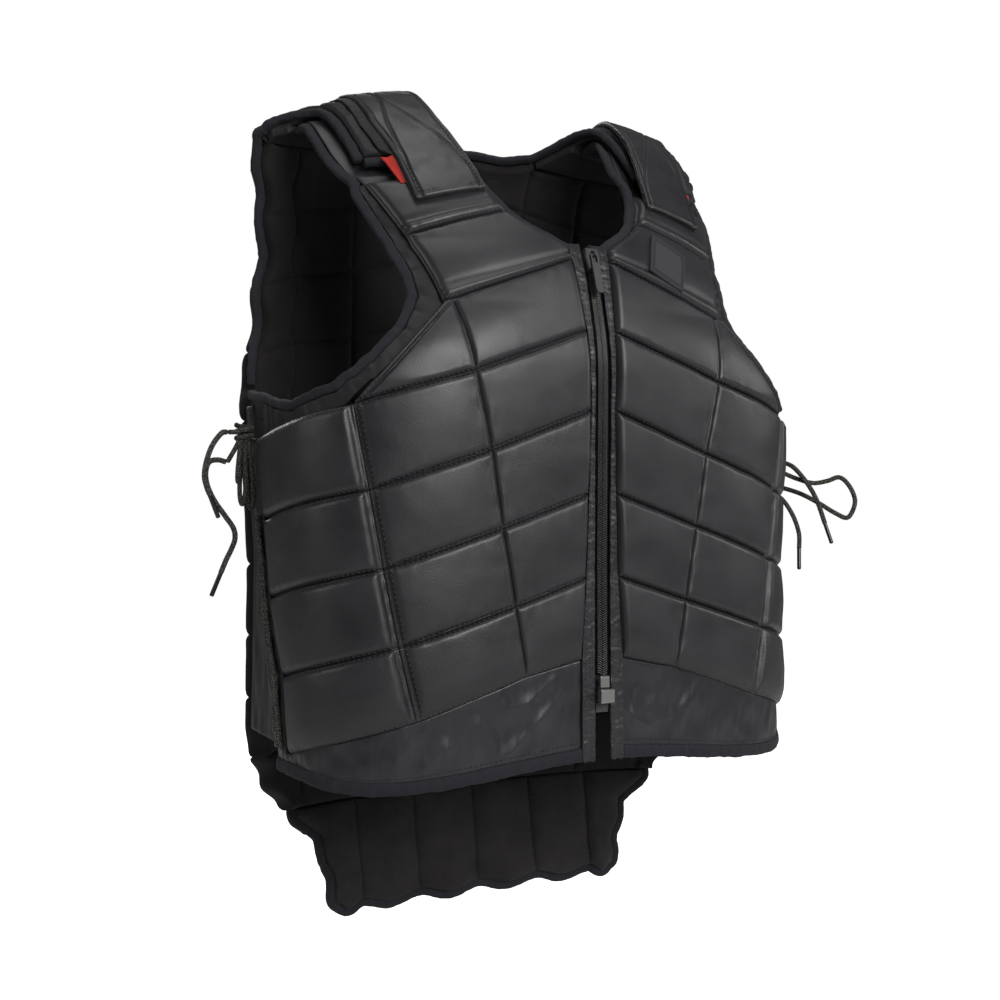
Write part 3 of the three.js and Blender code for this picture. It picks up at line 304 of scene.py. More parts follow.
    def frames(self, surface: Surface, a: Array, b: Array) -> tuple[Array, Array]:
        """Points and outward normals: the normal is the cross product of the two slopes.

        Args:
            surface: One of this form's surfaces.
            a: First pattern coordinates.
            b: Second pattern coordinates.

        Returns:
            Points and unit normals on the wearer's left.
        """
        step = 1.0
        a, b = paired(a, b)
        point = surface(a, b)
        along = surface(a + step, b) - surface(np.maximum(a - step, 0.0), b)
        up = surface(a, b + step) - surface(a, b - step)
        normal = unit(np.cross(unit(along), unit(up)))
        out = point + np.array([0.0, 0.0, self.armpit_drop])
        normal = np.where((np.sum(normal * out, -1) < 0)[..., None], -normal, normal)
        return point, normal

    def lifted(self, surface: Surface, a: Array, b: Array, out: Array | float, side: Side | Array) -> Array:
        """Pattern points moved out along their normals, on one side of the body or on both.

        Args:
            surface: One of this form's surfaces.
            a: First pattern coordinates, without sign.
            b: Second pattern coordinates.
            out: Distance out.
            side: The side, or an array of signs of x.

        Returns:
            The points in millimetres.
        """
        point, normal = self.frames(surface, a, b)
        moved = point + normal * np.asarray(out, float)[..., None]
        sign = side.value if isinstance(side, Side) else np.asarray(side, float)
        moved[..., 0] = moved[..., 0] * sign
        return moved


FORM = BodyForm()
# In millimetres: a block's width, a row's height, the foam's thickness and the depth of a pad's edge.
COLUMN = 80.0
PITCH = 52.5
PAD = 16.0
EDGE = 5.0
# Share of the back's girth that the back panel reaches, and a bar's length round its section on its cloth map.
GIRTH_EDGE = 0.92
BAND_ROUND = 24.0


class Cloth:
    """Puts worked-out points into Blender meshes that carry a cloth map in metres."""

    @staticmethod
    def mesh(name: str, points: Array, faces: Array, uv: Array | None = None, smooth: bool = True) -> bpy.types.Object:
        """A mesh object from points in millimetres and faces of three or four corners.

        Args:
            name: The object's name.
            points: Points in millimetres, one a row.
            faces: Corner numbers, one face a row.
            uv: Cloth coordinates of each point, in metres.
            smooth: Whether the faces are shaded smooth.

        Returns:
            The object, linked to the scene.
        """
        data = bpy.data.meshes.new(name)
        corners = faces.shape[1]
        data.vertices.add(len(points))
        data.vertices.foreach_set("co", (points * MM).astype(np.float32).ravel())
        data.loops.add(faces.size)
        data.loops.foreach_set("vertex_index", faces.astype(np.int32).ravel())
        data.polygons.add(len(faces))
        data.polygons.foreach_set("loop_start", np.arange(0, faces.size, corners, dtype=np.int32))
        data.polygons.foreach_set("use_smooth", np.full(len(faces), smooth))
        if uv is not None:
            layer = data.uv_layers.new(name="cloth")
            layer.data.foreach_set("uv", uv[faces.ravel()].astype(np.float32).ravel())
        data.update(calc_edges=True)
        data.validate()
        obj = bpy.data.objects.new(name, data)
        bpy.context.scene.collection.objects.link(obj)
        return obj

    @staticmethod
    def outward(points: Array, faces: Array) -> Array:
        """Faces turned over as a whole where the volume they enclose counts as negative."""
        a, b, c = (points[faces[:, k]] for k in (0, 1, 2))
        volume = np.sum(a * np.cross(b, c))
        if faces.shape[1] == 4:
            d = points[faces[:, 3]]
            volume += np.sum(a * np.cross(c, d))
        return faces[:, ::-1] if volume < 0 else faces

    @classmethod
    def slab(cls, name: str, outer: Array, inner: Array, uv: Array) -> bpy.types.Object:
        """A closed sheet: an outer and an inner grid joined round their border.

        Args:
            name: The object's name.
            outer: Outer points, rows by columns by 3.
            inner: Inner points, of the same shape.
            uv: Cloth coordinates, rows by columns by 2, in millimetres.

        Returns:
            The object.
        """
        rows, columns = outer.shape[:2]
        ids = np.arange(rows * columns).reshape(rows, columns)
        quads = np.stack([ids[:-1, :-1], ids[:-1, 1:], ids[1:, 1:], ids[1:, :-1]], -1).reshape(-1, 4)
        rim = np.concatenate([ids[0, :-1], ids[:-1, -1], ids[-1, :0:-1], ids[:0:-1, 0]])
        after = np.roll(rim, -1)
        count = rows * columns
        walls = np.stack([after, rim, rim + count, after + count], -1)
        faces = np.vstack([quads, quads[:, ::-1] + count, walls])
        points = np.vstack([outer.reshape(-1, 3), inner.reshape(-1, 3)])
        flat = np.vstack([uv.reshape(-1, 2), uv.reshape(-1, 2) + 700.0]) * MM
        return cls.mesh(name, points, cls.outward(points, faces), flat)

    @classmethod
    def band(cls, name: str, path: Array, sections: Array) -> bpy.types.Object:
        """A bar: sections, one at each place of a path, joined by faces and capped at the ends.

        Args:
            name: The object's name.
            path: Distance along the bar at each section, in millimetres.
            sections: Points, places by corners by 3.

        Returns:
            The object.
        """
        places, corners = sections.shape[:2]
        ids = np.arange(places * corners).reshape(places, corners)
        nxt = np.roll(ids, -1, axis=1)
        quads = np.stack([ids[:-1], nxt[:-1], nxt[1:], ids[1:]], -1).reshape(-1, 4)
        around = np.linspace(0.0, BAND_ROUND, corners, endpoint=False)
        uv = np.stack(np.broadcast_arrays(path[:, None], around[None, :]), -1).reshape(-1, 2) * MM
        points = np.vstack([sections.reshape(-1, 3), [sections[0].mean(0), sections[-1].mean(0)]])
        first, last = (np.full(corners, len(points) - k) for k in (2, 1))
        start, stop = (nxt[0], ids[0], first, first), (ids[-1], nxt[-1], last, last)
        faces = cls.outward(points, np.vstack([quads, np.stack(start, -1), np.stack(stop, -1)]))
        tris = np.vstack([faces[:, [0, 1, 2]], faces[:, [0, 2, 3]]])
        good = (tris[:, 0] != tris[:, 1]) & (tris[:, 1] != tris[:, 2]) & (tris[:, 0] != tris[:, 2])
        return cls.mesh(name, points, tris[good], np.vstack([uv, uv[:1], uv[-1:]]))

    @classmethod
    def copies(cls, name: str, points: Array, faces: Array, places: Array, ways: Array, smooth: bool = True
               ) -> bpy.types.Object:
        """Many copies of one small shape as one mesh: each is turned by its three axes and moved.

        Args:
            name: The object's name.
            points: The small shape's points in millimetres.
            faces: Its faces.
            places: Centre of each copy.
            ways: Three axes of each copy, copies by 3 by 3, one axis a row.
            smooth: Whether it is shaded smooth.

        Returns:
            The object.
        """
        moved = np.einsum("pk,ckj->cpj", points, ways) + places[:, None, :]
        count, size = len(places), len(points)
        every = (faces[None] + (np.arange(count) * size)[:, None, None]).reshape(-1, faces.shape[1])
        flat = moved.reshape(-1, 3)
        uv = np.stack([flat[:, 0], flat[:, 2]], -1) * MM
        return cls.mesh(name, flat, every, uv, smooth)


OCTA = np.array([(1, 0, 0), (-1, 0, 0), (0, 1, 0), (0, -1, 0), (0, 0, 1), (0, 0, -1)], float)
OCTA_FACES = np.array([(0, 2, 4), (2, 1, 4), (1, 3, 4), (3, 0, 4), (2, 0, 5), (1, 2, 5), (3, 1, 5), (0, 3, 5)])


def groove(distance: Array, depth: float, floor: float, radius: float) -> Array:
    """Depth of a sewn groove: full on its flat floor, then a quarter round up to nothing.

    Args:
        distance: Distance from the seam.
        depth: Depth on the floor.
        floor: Half width of the floor.
        radius: Width of the round edge.

    Returns:
        Depths, over or equal to 0.
    """
    return depth * quarter((distance - floor) / radius)


def deepest(*depths: Array) -> Array:
    """Grooves that meet, as the fourth root of the sum of their fourth powers."""
    return sum(d**4 for d in depths) ** 0.25


def stations(count: int, cells: int, tight: float = 0.6) -> Array:
    """Grid places from 0 to cells, closer together near the whole numbers.

    Args:
        count: Steps in each cell.
        cells: Number of cells.
        tight: How strongly they crowd, from 0 to 1.

    Returns:
        The places.
    """
    t = np.linspace(0.0, 1.0, count, endpoint=False)
    t = t - tight * np.sin(2 * math.pi * t) / (2 * math.pi)
    return np.concatenate([np.add.outer(np.arange(cells), t).ravel(), [float(cells)]])


@dataclass
class FrontPattern:
    """Seams of the padded front, as shares of the column width and the row pitch."""

    outline: Table = field(default_factory=lambda: Table(
        ("row", "zip_out", "zip_up", "mid_out", "mid_up", "side_out", "side_up"),
        (
            (0, 0.2, -3.39, 0.72, -3.56, 1.645, -4.02), (1, 0.156, -2.38, 0.825, -2.7, 1.795, -3.14),
            (2, 0.131, -1.35, 0.938, -1.76, 1.925, -2.23), (3, 0.113, -0.32, 1.025, -0.83, 2.02, -1.31),
            (4, 0.131, 0.67, 1.15, 0.105, 2.13, -0.31), (5, 0.175, 1.58, 1.25, 0.99, 1.32, 0.97),
            (5.33, 0.188, 1.75, 1.19, 1.37, 1.363, 1.257), (5.5, 0.3, 1.876, 1.15, 1.56, 1.4, 1.43),
            (5.67, 0.413, 1.99, 1.11, 1.75, 1.43, 1.58), (5.83, 0.525, 2.124, 1.09, 1.92, 1.463, 1.733),
            (6, 0.638, 2.305, 1.063, 2.114, 1.488, 1.886), (6.5, 0.75, 2.648, 1.175, 2.533, 1.6, 2.38),
            (7, 0.825, 3.01, 1.263, 2.93, 1.713, 2.857),
        ),
    ))
    tab: Table = field(default_factory=lambda: Table(
        ("share", "neck", "arm"),
        ((0, 0.825, 1.713), (0.15, 0.855, 1.83), (0.3, 0.885, 1.9), (0.5, 0.95, 1.94), (0.7, 1.02, 1.96),
         (0.85, 1.06, 1.95), (1, 1.075, 1.94)),
    ))
    flank: Table = field(default_factory=lambda: Table(
        ("row", "rear_out", "rear_up", "lace_out", "lace_up"),
        ((0, 2.91, -4.5, 3.15, -4.42), (1, 3, -3.58, 3.36, -3.54), (2, 3.31, -2.65, 3.59, -2.7),
         (3, 3.45, -1.68, 3.72, -1.7), (4, 3.54, -0.65, 3.72, -0.64)),
    ))
    gusset: Sequence[tuple[float, float, float]] = (
        (7, 0, 0.06), (6.5, 0, 0.09), (6, 0, 0.11), (5.5, 0, 0.12), (5, 0, 0.19), (4.67, 0, 0.1), (4.33, 0, 0.11),
        (4, 0.06, 0.13), (4, 0.25, 0.135), (4, 0.5, 0.14), (4, 0.75, 0.2), (4, 0.94, 0.28),
    )
    past_crest: float = 18.0
    flap_front: float = 92.0

    def place(self, row: Array, column: Array) -> tuple[Array, Array]:
        """Pattern coordinates of a row from the foot up and a column from 0 at the zip to 2."""
        row, column = paired(row, column)
        low = np.minimum(row, 7.0)
        edges = {n: self.outline.read(low, n) for n in self.outline.names[1:]}
        first, second = np.clip(column, 0, 1), np.clip(column - 1, 0, 1)
        s = COLUMN * lerp(lerp(edges["zip_out"], edges["mid_out"], first), edges["side_out"], second)
        w = PITCH * lerp(lerp(edges["zip_up"], edges["mid_up"], first), edges["side_up"], second)
        share = np.clip(row - 7.0, 0.0, 1.0)
        across = COLUMN * lerp(self.tab.read(share, "neck"), self.tab.read(share, "arm"), column / 2)
        rise = lerp(w, FORM.front_top + self.past_crest, share)
        return np.where(row > 7, across, s), np.where(row > 7, rise, w)

    def flank_place(self, row: Array, column: Array) -> tuple[Array, Array]:
        """Pattern coordinates in the side block column, from 0 at its front seam to 1."""
        row, column = paired(row, column)
        s0, w0 = self.place(row, np.full(row.shape, 2.0))
        s1, w1 = self.flank.read(row, "rear_out") * COLUMN, self.flank.read(row, "rear_up") * PITCH
        sag = np.where(row > 3.99, 4 * np.minimum(column, 1 - column) * 0.05 * PITCH, 0.0)
        return lerp(s0 + GAP, s1, column), lerp(w0, w1, column) - sag

    def lace_place(self, row: Array, column: Array) -> tuple[Array, Array]:
        """Pattern coordinates in the laced edge, from 0 at the side block to 1."""
        row, column = paired(row, column)
        s0, w0 = self.flank_place(row, np.ones(row.shape))
        s1, w1 = self.flank.read(row, "lace_out") * COLUMN, self.flank.read(row, "lace_up") * PITCH
        return lerp(s0 + GAP, s1, column), lerp(w0, w1, column)

    def gusset_lines(self) -> tuple[Array, Array]:
        """The gusset's foam side and its bound side, as pattern points, from the shoulder round."""
        foam = np.array([self.flank_place(r, c) if c > 0 else self.place(r, 2.0) for r, c, _ in self.gusset], float)
        ahead = np.vstack([foam[1:], foam[-1:]]) - np.vstack([foam[:1], foam[:-1]])
        across = unit(np.stack([-ahead[:, 1], ahead[:, 0]], -1))
        width = np.array([w for _, _, w in self.gusset])[:, None] * COLUMN
        return foam + across * 3 * GAP, foam + across * width

    @staticmethod
    def hem(s: Array) -> Array:
        """Height of the hem round the body: level at the zip, dipping towards the side."""
        t = np.asarray(s, float) / 160.0
        return -244.0 - 12.0 * np.where(t < 1, eased(t, 0, 1), 1 - 0.5 * eased(t, 1, 1.5))

    def lap(self, w: Array) -> Array:
        """How far the front shoulder tab has sunk under the rear flap, from 0 to 1."""
        return eased(w, FORM.front_top - self.flap_front - 34, FORM.front_top - self.flap_front - 6)


@dataclass
class BackPattern:
    """Seams of the padded back, its tail and its shoulder flaps."""

    column: float = 49.0
    pitch: float = 49.5
    foot: float = -299.0
    slope: float = 0.2
    rim_drop: float = 61.0
    flap_back: float = 52.0
    flap_front: float = 92.0
    tail_foot: float = 375.0
    edge: Table = field(default_factory=lambda: Table(
        ("up", "out"),
        ((-6.04, 0.72), (-5.4, 0.83), (-4.7, 0.9), (-3.9, 0.92), (-0.2, 0.92), (0.5, 0.83), (1.5, 0.785),
         (2.4, 0.765), (3.2, 0.81), (4.1, 0.81)),
    ))
    tail: Table = field(default_factory=lambda: Table(
        ("down", "out"), ((0, 0.675), (0.08, 0.672), (0.18, 0.63), (0.3, 0.585), (0.6, 0.55), (1, 0.53)),
    ))
    flap: Table = field(default_factory=lambda: Table(
        ("along", "neck", "arm"),
        ((-1, 0.605, 2.22), (-0.7, 0.77, 2.19), (-0.35, 0.9, 2.03), (0, 0.98, 1.84), (0.4, 1, 1.75), (1, 1.01, 1.66)),
    ))
    strap: Table = field(default_factory=lambda: Table(
        ("along", "out"), ((-1, 1.34), (0, 1.31), (0.45, 1.24), (0.75, 1.13), (1, 1.07)),
    ))
    strap_width: float = 46.0
    strap_front: float = 137.0
    strap_back: float = 36.0
    strap_skew: float = 10.0

    def edge_at(self, w: Array) -> Array:
        """Girth of the back panel's side edge at a height: past the armpit each row's seam pulls it in."""
        w = np.asarray(w, float)
        row = (w - self.foot) / self.pitch
        pulled = 4.5 * np.cos(2 * math.pi * row) * eased(w, -30, 10) * (1 - eased(w, 150, 175))
        pulled = pulled + 3.6 * np.sin(4 * math.pi * row) * (1 - eased(w, -262, -236))
        return self.edge.read(w / self.pitch, "out") * FORM.back_girth - pulled

    def place(self, row: Array, column: Array) -> tuple[Array, Array]:
        """Pattern coordinates of places on the back panel.

        Args:
            row: Rows from 0 at the foot to 10.
            column: Columns from 0 at the middle to 4.

        Returns:
            Distance round the back from the middle, and height.
        """
        row, column = paired(row, column)
        seam, scoop = FORM.back_top - self.flap_back, FORM.back_top - self.rim_drop
        top = lerp(scoop, seam, eased(column, 0.5, 1.0))
        x = column * self.column
        low = np.minimum(row, 9.5)
        slope = self.slope * np.clip(low / 3, 0, 1)
        level = np.minimum(self.foot + low * self.pitch + slope * (2 * self.column - x), top - 14.0)
        w = np.where(row > 9.5, lerp(level, top, (row - 9.5) * 2), level)
        edge = self.edge_at(w)
        inner = np.minimum(x, edge * column / 3.6)
        third = 3 * self.column + (8 + 3 * np.sin(2 * math.pi * row)) * np.clip(column - 2, 0, 1)
        inner = inner + (third - 3 * self.column) * np.clip(column - 2, 0, 1)
        outer = lerp(third, edge, column - 3)
        return np.where(column >= 3, outer, inner), w

    def tail_place(self, down: Array, column: Array) -> tuple[Array, Array]:
        """Pattern coordinates in the tail: share of its drop, and channels out from the middle."""
        down, column = paired(down, column)
        edge = self.tail.read(down, "out") * FORM.back_girth + 1.6 * np.sin(down * 15.0)
        step = 0.22 * FORM.back_girth
        s = np.where(column > 2, lerp(2 * step, edge, column - 2), column * step)
        lobe = 2.6 * np.cos(2 * math.pi * column) * eased(down, 0.6, 1.0)
        return s, lerp(self.foot - GAP, -self.tail_foot, down) + lobe

    def flap_place(self, v: Array, column: Array) -> tuple[Array, Array]:
        """Across and along in the rear shoulder flap: v from the crest, column from neck to arm."""
        v, column = paired(v, column)
        along = np.where(v < 0, v / self.flap_back, v / self.flap_front)
        return COLUMN * lerp(self.flap.read(along, "neck"), self.flap.read(along, "arm"), column), v

    def strap_place(self, v: Array, column: Array, proud: float) -> tuple[Array, Array]:
        """Across and along in the strap: v from the crest, column from its neck edge out."""
        v, column = paired(v, column)
        along = np.where(v < 0, v / self.strap_back, v / self.strap_front)
        middle = self.strap.read(along, "out") * COLUMN
        half = self.strap_width / 2
        skew = self.strap_skew * eased(v, self.flap_front, self.strap_front) * (0.5 - column)
        return middle + lerp(-half, half + proud, column), v - skew


FRONT = FrontPattern()
BACK = BackPattern()


class Graph:
    """A short way to lay out a material's nodes."""

    def __init__(self, name: str) -> None:
        """Starts an empty material of that name with an output."""
        self.material = bpy.data.materials.new(name)
        self.material.use_nodes = True
        self.tree = self.material.node_tree
        self.tree.nodes.clear()
        self.out = self.tree.nodes.new("ShaderNodeOutputMaterial")
        self.bsdf = self.tree.nodes.new("ShaderNodeBsdfPrincipled")
        self.tree.links.new(self.bsdf.outputs[0], self.out.inputs["Surface"])

    def put(self, socket: bpy.types.NodeSocket, value: object) -> None:
        """Sets a socket, or links it where the value is a socket."""
        if isinstance(value, bpy.types.NodeSocket):
            self.tree.links.new(value, socket)
        else:
            socket.default_value = value

    def node(self, kind: str, settings: dict | None = None, **inputs: object) -> bpy.types.Node:
        """A node with its settings and its inputs; an input that is a socket is linked.

        Args:
            kind: The node's type, without the ShaderNode at its front.
            settings: Properties of the node.
            inputs: Values or sockets by input name, with _ for a space.

        Returns:
            The node.
        """
        made = self.tree.nodes.new("ShaderNode" + kind)
        for key, value in (settings or {}).items():
            setattr(made, key, value)
        for key, value in inputs.items():
            self.put(made.inputs[key.replace("_", " ")], value)
        return made

    def cloth(self, scale: tuple[float, float] = (1.0, 1.0), turn: float = 0.0) -> bpy.types.NodeSocket:
        """The piece's cloth map, scaled to cells per metre and turned."""
        place = self.node("UVMap", {"uv_map": "cloth"}).outputs[0]
        return self.node("Mapping", Vector=place, Rotation=(0.0, 0.0, turn), Scale=(*scale, 1.0)).outputs[0]

    def noise(self, place: bpy.types.NodeSocket, scale: float, detail: float = 3.0, rough: float = 0.55
              ) -> bpy.types.NodeSocket:
        """Noise heights at a place."""
        return self.node("TexNoise", Vector=place, Scale=scale, Detail=detail, Roughness=rough).outputs[0]

    def weave(self, place: bpy.types.NodeSocket, scale: float, distortion: float = 0.0) -> bpy.types.NodeSocket:
        """Straight ribs across a place's first way."""
        made = self.node("TexWave", {"wave_type": "BANDS", "bands_direction": "X"}, Vector=place, Scale=scale,
                         Distortion=distortion)
        return made.outputs["Fac"]

    def mix(self, share: object, a: object, b: object) -> bpy.types.NodeSocket:
        """A colour between two by a share; a colour is a socket or its red, green and blue."""
        made = self.node("Mix", {"data_type": "RGBA"})
        for key, value in (("Factor", share), ("A", a), ("B", b)):
            colour = (*value, 1.0) if isinstance(value, tuple) else value
            self.put(next(s for s in made.inputs if s.name == key and s.enabled), colour)
        return next(s for s in made.outputs if s.enabled)

    def math(self, operation: str, *values: object) -> bpy.types.NodeSocket:
        """One arithmetic step on sockets and numbers."""
        made = self.node("Math", {"operation": operation})
        for socket, value in zip(made.inputs, values):
            self.put(socket, value)
        return made.outputs[0]

    def blend(self, a: bpy.types.NodeSocket, b: bpy.types.NodeSocket, share: float) -> bpy.types.NodeSocket:
        """The first value times one less the share, plus the second times the share."""
        return self.math("ADD", self.math("MULTIPLY", a, 1 - share), self.math("MULTIPLY", b, share))

    def ranged(self, value: bpy.types.NodeSocket, low: float, high: float, to_low: float, to_high: float
               ) -> bpy.types.NodeSocket:
        """A value's range carried to another range, held at its ends."""
        made = self.node("MapRange", Value=value, From_Min=low, From_Max=high, To_Min=to_low, To_Max=to_high)
        return made.outputs[0]

    def finish(self, bump: Sequence[tuple[bpy.types.NodeSocket, float, float]] = (), **surface: object
               ) -> bpy.types.Material:
        """Sets the shader's sockets and chains the bumps.

        Args:
            bump: Height, strength and distance in metres of each bump, the coarsest first.
            surface: The shader's inputs by name, with _ for a space.

        Returns:
            The material.
        """
        normal = None
        for height, strength, distance in bump:
            step = self.node("Bump", Height=height, Strength=strength, Distance=distance)
            if normal is not None:
                self.put(step.inputs["Normal"], normal)
            normal = step.outputs[0]
        for key, value in {**surface, "Normal": normal}.items():
            self.put(self.bsdf.inputs[key.replace("_", " ")], value)
        return self.material


@dataclass(frozen=True)
class TwillCloth:
    """Satin-faced black cloth with a fine diagonal twill."""

    name: str = "satin_twill"
    dark: tuple[float, float, float] = (0.0115, 0.0115, 0.0133)
    light: tuple[float, float, float] = (0.0195, 0.0195, 0.0222)
    ribs: float = 260.0
    roughness: float = 0.4
    sheen: float = 0.05
    gloss: float = 0.5

    def material(self) -> bpy.types.Material:
        """Twill ribs at 45 degrees over slow changes of shade and gloss."""
        g = Graph(self.name)
        place = g.cloth(turn=0.72)
        ribs = g.weave(place, self.ribs, 0.6)
        grain = g.noise(g.cloth((900.0, 900.0)), 1.0, 2.0)
        slow = g.noise(g.cloth((22.0, 30.0)), 1.0, 3.0)
        share = g.blend(slow, grain, 0.38)
        colour = g.mix(g.ranged(share, 0.3, 0.7, 0.0, 1.0), self.dark, self.light)
        rough = g.ranged(slow, 0.3, 0.7, self.roughness - 0.05, self.roughness + 0.08)
        return g.finish(((slow, 0.06, 0.0012), (ribs, 0.16, 0.0002), (grain, 0.4, 0.0003)),
                        Base_Color=colour, Roughness=rough, Sheen_Weight=self.sheen, Sheen_Roughness=0.4,
                        Specular_IOR_Level=self.gloss)


@dataclass(frozen=True)
class StretchLining:
    """Matt knitted cloth of the lining."""

    name: str = "knit_lining"
    # These default colours are the lining darkened by painted shade, for the back panel's inside seen through the
    # armholes.
    dark: tuple[float, float, float] = (0.009, 0.0079, 0.0082)
    light: tuple[float, float, float] = (0.0195, 0.0172, 0.0176)
    cells: float = 1100.0

    def material(self) -> bpy.types.Material:
        """Small knit cells over slow mottling."""
        g = Graph(self.name)
        knit = g.noise(g.cloth((self.cells, self.cells * 0.7)), 1.0, 1.0)
        slow = g.noise(g.cloth((35.0, 35.0)), 1.0, 4.0)
        share = g.blend(knit, slow, 0.5)
        colour = g.mix(g.ranged(share, 0.32, 0.68, 0.0, 1.0), self.dark, self.light)
        return g.finish(((slow, 0.3, 0.0015), (knit, 0.5, 0.0003)), Base_Color=colour, Roughness=0.88,
                        Sheen_Weight=0.04, Sheen_Roughness=0.5, Specular_IOR_Level=0.15)


@dataclass(frozen=True)
class WovenTape:
    """Woven edge tape with crosswise ribs."""

    name: str = "edge_tape"
    dark: tuple[float, float, float] = (0.0105, 0.0108, 0.0138)
    light: tuple[float, float, float] = (0.0245, 0.0252, 0.031)
    ribs: float = 420.0

    def material(self) -> bpy.types.Material:
        """Ribs across the tape, broken by noise."""
        g = Graph(self.name)
        ribs = g.weave(g.cloth(), self.ribs, 1.5)
        slow = g.noise(g.cloth((160.0, 120.0)), 1.0, 3.0)
        share = g.blend(ribs, slow, 0.55)
        colour = g.mix(g.ranged(share, 0.2, 0.8, 0.0, 1.0), self.dark, self.light)
        return g.finish(((slow, 0.4, 0.0008), (ribs, 0.4, 0.0003)), Base_Color=colour, Roughness=0.8,
                        Sheen_Weight=0.04, Sheen_Roughness=0.5, Specular_IOR_Level=0.2)


@dataclass(frozen=True)
class ShinyNylon:
    """Thin smooth nylon with small creases."""

    name: str = "thin_nylon"
    base: tuple[float, float, float] = (0.014, 0.0145, 0.0165)

    def material(self) -> bpy.types.Material:
        """Creases from noise stretched along one way, over a fine plain weave; the colour turns lighter where the
        crease noise is high, a painted highlight on the creases' crests.
        """
        g = Graph(self.name)
        crease = g.noise(g.cloth((42.0, 30.0), 0.7), 1.0, 3.0, 0.5)
        weave = g.weave(g.cloth(), 700.0, 0.3)
        # Painted highlight: the nylon's colour made half again as light on the crests of the creases.
        crease_highlight = tuple(c * 1.5 for c in self.base)
        colour = g.mix(g.ranged(crease, 0.35, 0.7, 0.0, 1.0), self.base, crease_highlight)
        return g.finish(((crease, 0.3, 0.002), (weave, 0.12, 0.0002)), Base_Color=colour, Roughness=0.34,
                        Specular_IOR_Level=0.5)


@dataclass(frozen=True)
class PlainFinish:
    """A finish of one colour with a fine noise in colour and bump: pile, thread, rubber or metal."""

    name: str
    base: tuple[float, float, float]
    roughness: float = 0.6
    metallic: float = 0.0
    grain: float = 1200.0
    bump: float = 0.3
    spread: float = 0.5
    sheen: float = 0.0

    def material(self) -> bpy.types.Material:
        """Noise on the object's coordinates shades the colour and lifts the surface a little."""
        g = Graph(self.name)
        place = g.node("TexCoord").outputs["Object"]
        grain = g.noise(place, self.grain, 2.0)
        share = g.blend(grain, g.noise(place, self.grain / 14.0, 2.0), 0.4)
        low = tuple(c * (1 - self.spread) for c in self.base)
        high = tuple(min(1.0, c * (1 + self.spread)) for c in self.base)
        colour = g.mix(g.ranged(share, 0.3, 0.7, 0.0, 1.0), low, high)
        return g.finish(((grain, self.bump, 0.0003),), Base_Color=colour, Roughness=self.roughness,
                        Metallic=self.metallic, Sheen_Weight=self.sheen)


@dataclass(frozen=True)
class BraidedCord:
    """Round braid: two sets of diagonal strands crossing, with pale flecks."""

    name: str = "braided_lace"
    base: tuple[float, float, float] = (0.02, 0.0205, 0.018)
    fleck: tuple[float, float, float] = (0.14, 0.14, 0.122)

    def material(self) -> bpy.types.Material:
        """Crossed ribs as bump and as painted shade, dark between the strands and light on their crowns, and sparse
        flecks where a noise is high.
        """
        g = Graph(self.name)
        one = g.weave(g.cloth(turn=0.8), 190.0)
        two = g.weave(g.cloth(turn=-0.8), 190.0)
        braid = g.math("MAXIMUM", one, two)
        fleck = g.ranged(g.noise(g.cloth((900.0, 620.0), 0.8), 1.0, 0.0), 0.55, 0.6, 0.0, 1.0)
        # Painted shade between the strands and painted highlight on their crowns, following the ribs' height.
        shade = g.mix(braid, tuple(c * 0.5 for c in self.base), tuple(c * 1.7 for c in self.base))
        colour = g.mix(fleck, shade, self.fleck)
        return g.finish(((braid, 0.8, 0.0006),), Base_Color=colour, Roughness=0.75, Specular_IOR_Level=0.25)


class Finish(Enum):
    """The finishes used on the vest."""

    OUTER = TwillCloth()
    MATT = TwillCloth(name="matt_twill", dark=(0.0085, 0.0085, 0.0097), light=(0.0155, 0.0155, 0.0175), roughness=0.55,
                      sheen=0.04, gloss=0.3)
    # Painted shade: the back panel's lining, darker than the same knit on the tail.
    LINING = StretchLining()
    # Painted light: the same knit as the back panel's lining, made lighter where the tail catches the front light.
    TAIL_LINING = StretchLining(name="tail_lining", dark=(0.0145, 0.0131, 0.0131), light=(0.0315, 0.0288, 0.0288))
    TAPE = WovenTape()
    NYLON = ShinyNylon()
    PILE = PlainFinish("loop_pile", (0.012, 0.012, 0.012), 0.95, grain=2200.0, bump=1.0, spread=0.8, sheen=0.1)
    RED = PlainFinish("red_tape", (0.4, 0.018, 0.01), 0.85, grain=1500.0, bump=0.4, spread=0.25)
    # Painted highlight: lighter than the dark thread used elsewhere, standing for the light that catches the front
    # stitches.
    THREAD = PlainFinish("grey_thread", (0.055, 0.055, 0.06), 0.6, grain=3000.0, spread=0.4)
    DARK_THREAD = PlainFinish("dark_thread", (0.014, 0.014, 0.016), 0.6, grain=3000.0, spread=0.4)
    LACE = BraidedCord()
    TIP = PlainFinish("lace_tip", (0.012, 0.012, 0.012), 0.25, grain=300.0, bump=0.05, spread=0.2)
    TEETH = PlainFinish("zip_metal", (0.33, 0.32, 0.3), 0.25, 1.0, grain=700.0, bump=0.08, spread=0.25)
    GUNMETAL = PlainFinish("gunmetal", (0.055, 0.053, 0.05), 0.24, 1.0, grain=700.0, bump=0.08, spread=0.25)
    PALE_METAL = PlainFinish("pale_metal", (0.4, 0.36, 0.32), 0.3, 1.0, grain=500.0, bump=0.08, spread=0.15)
    RUBBER = PlainFinish("badge_rubber", (0.026, 0.026, 0.027), 0.42, grain=900.0, bump=0.15, spread=0.2)
    GREY_TAPE = PlainFinish("grey_tape", (0.045, 0.045, 0.048), 0.8, grain=1500.0, bump=0.4, spread=0.25)

    def material(self) -> bpy.types.Material:
        """The finish's material, made once."""
        found = bpy.data.materials.get(self.value.name)
        return found if found is not None else self.value.material()


Look = tuple[Finish, str] | tuple[Finish, str, str]


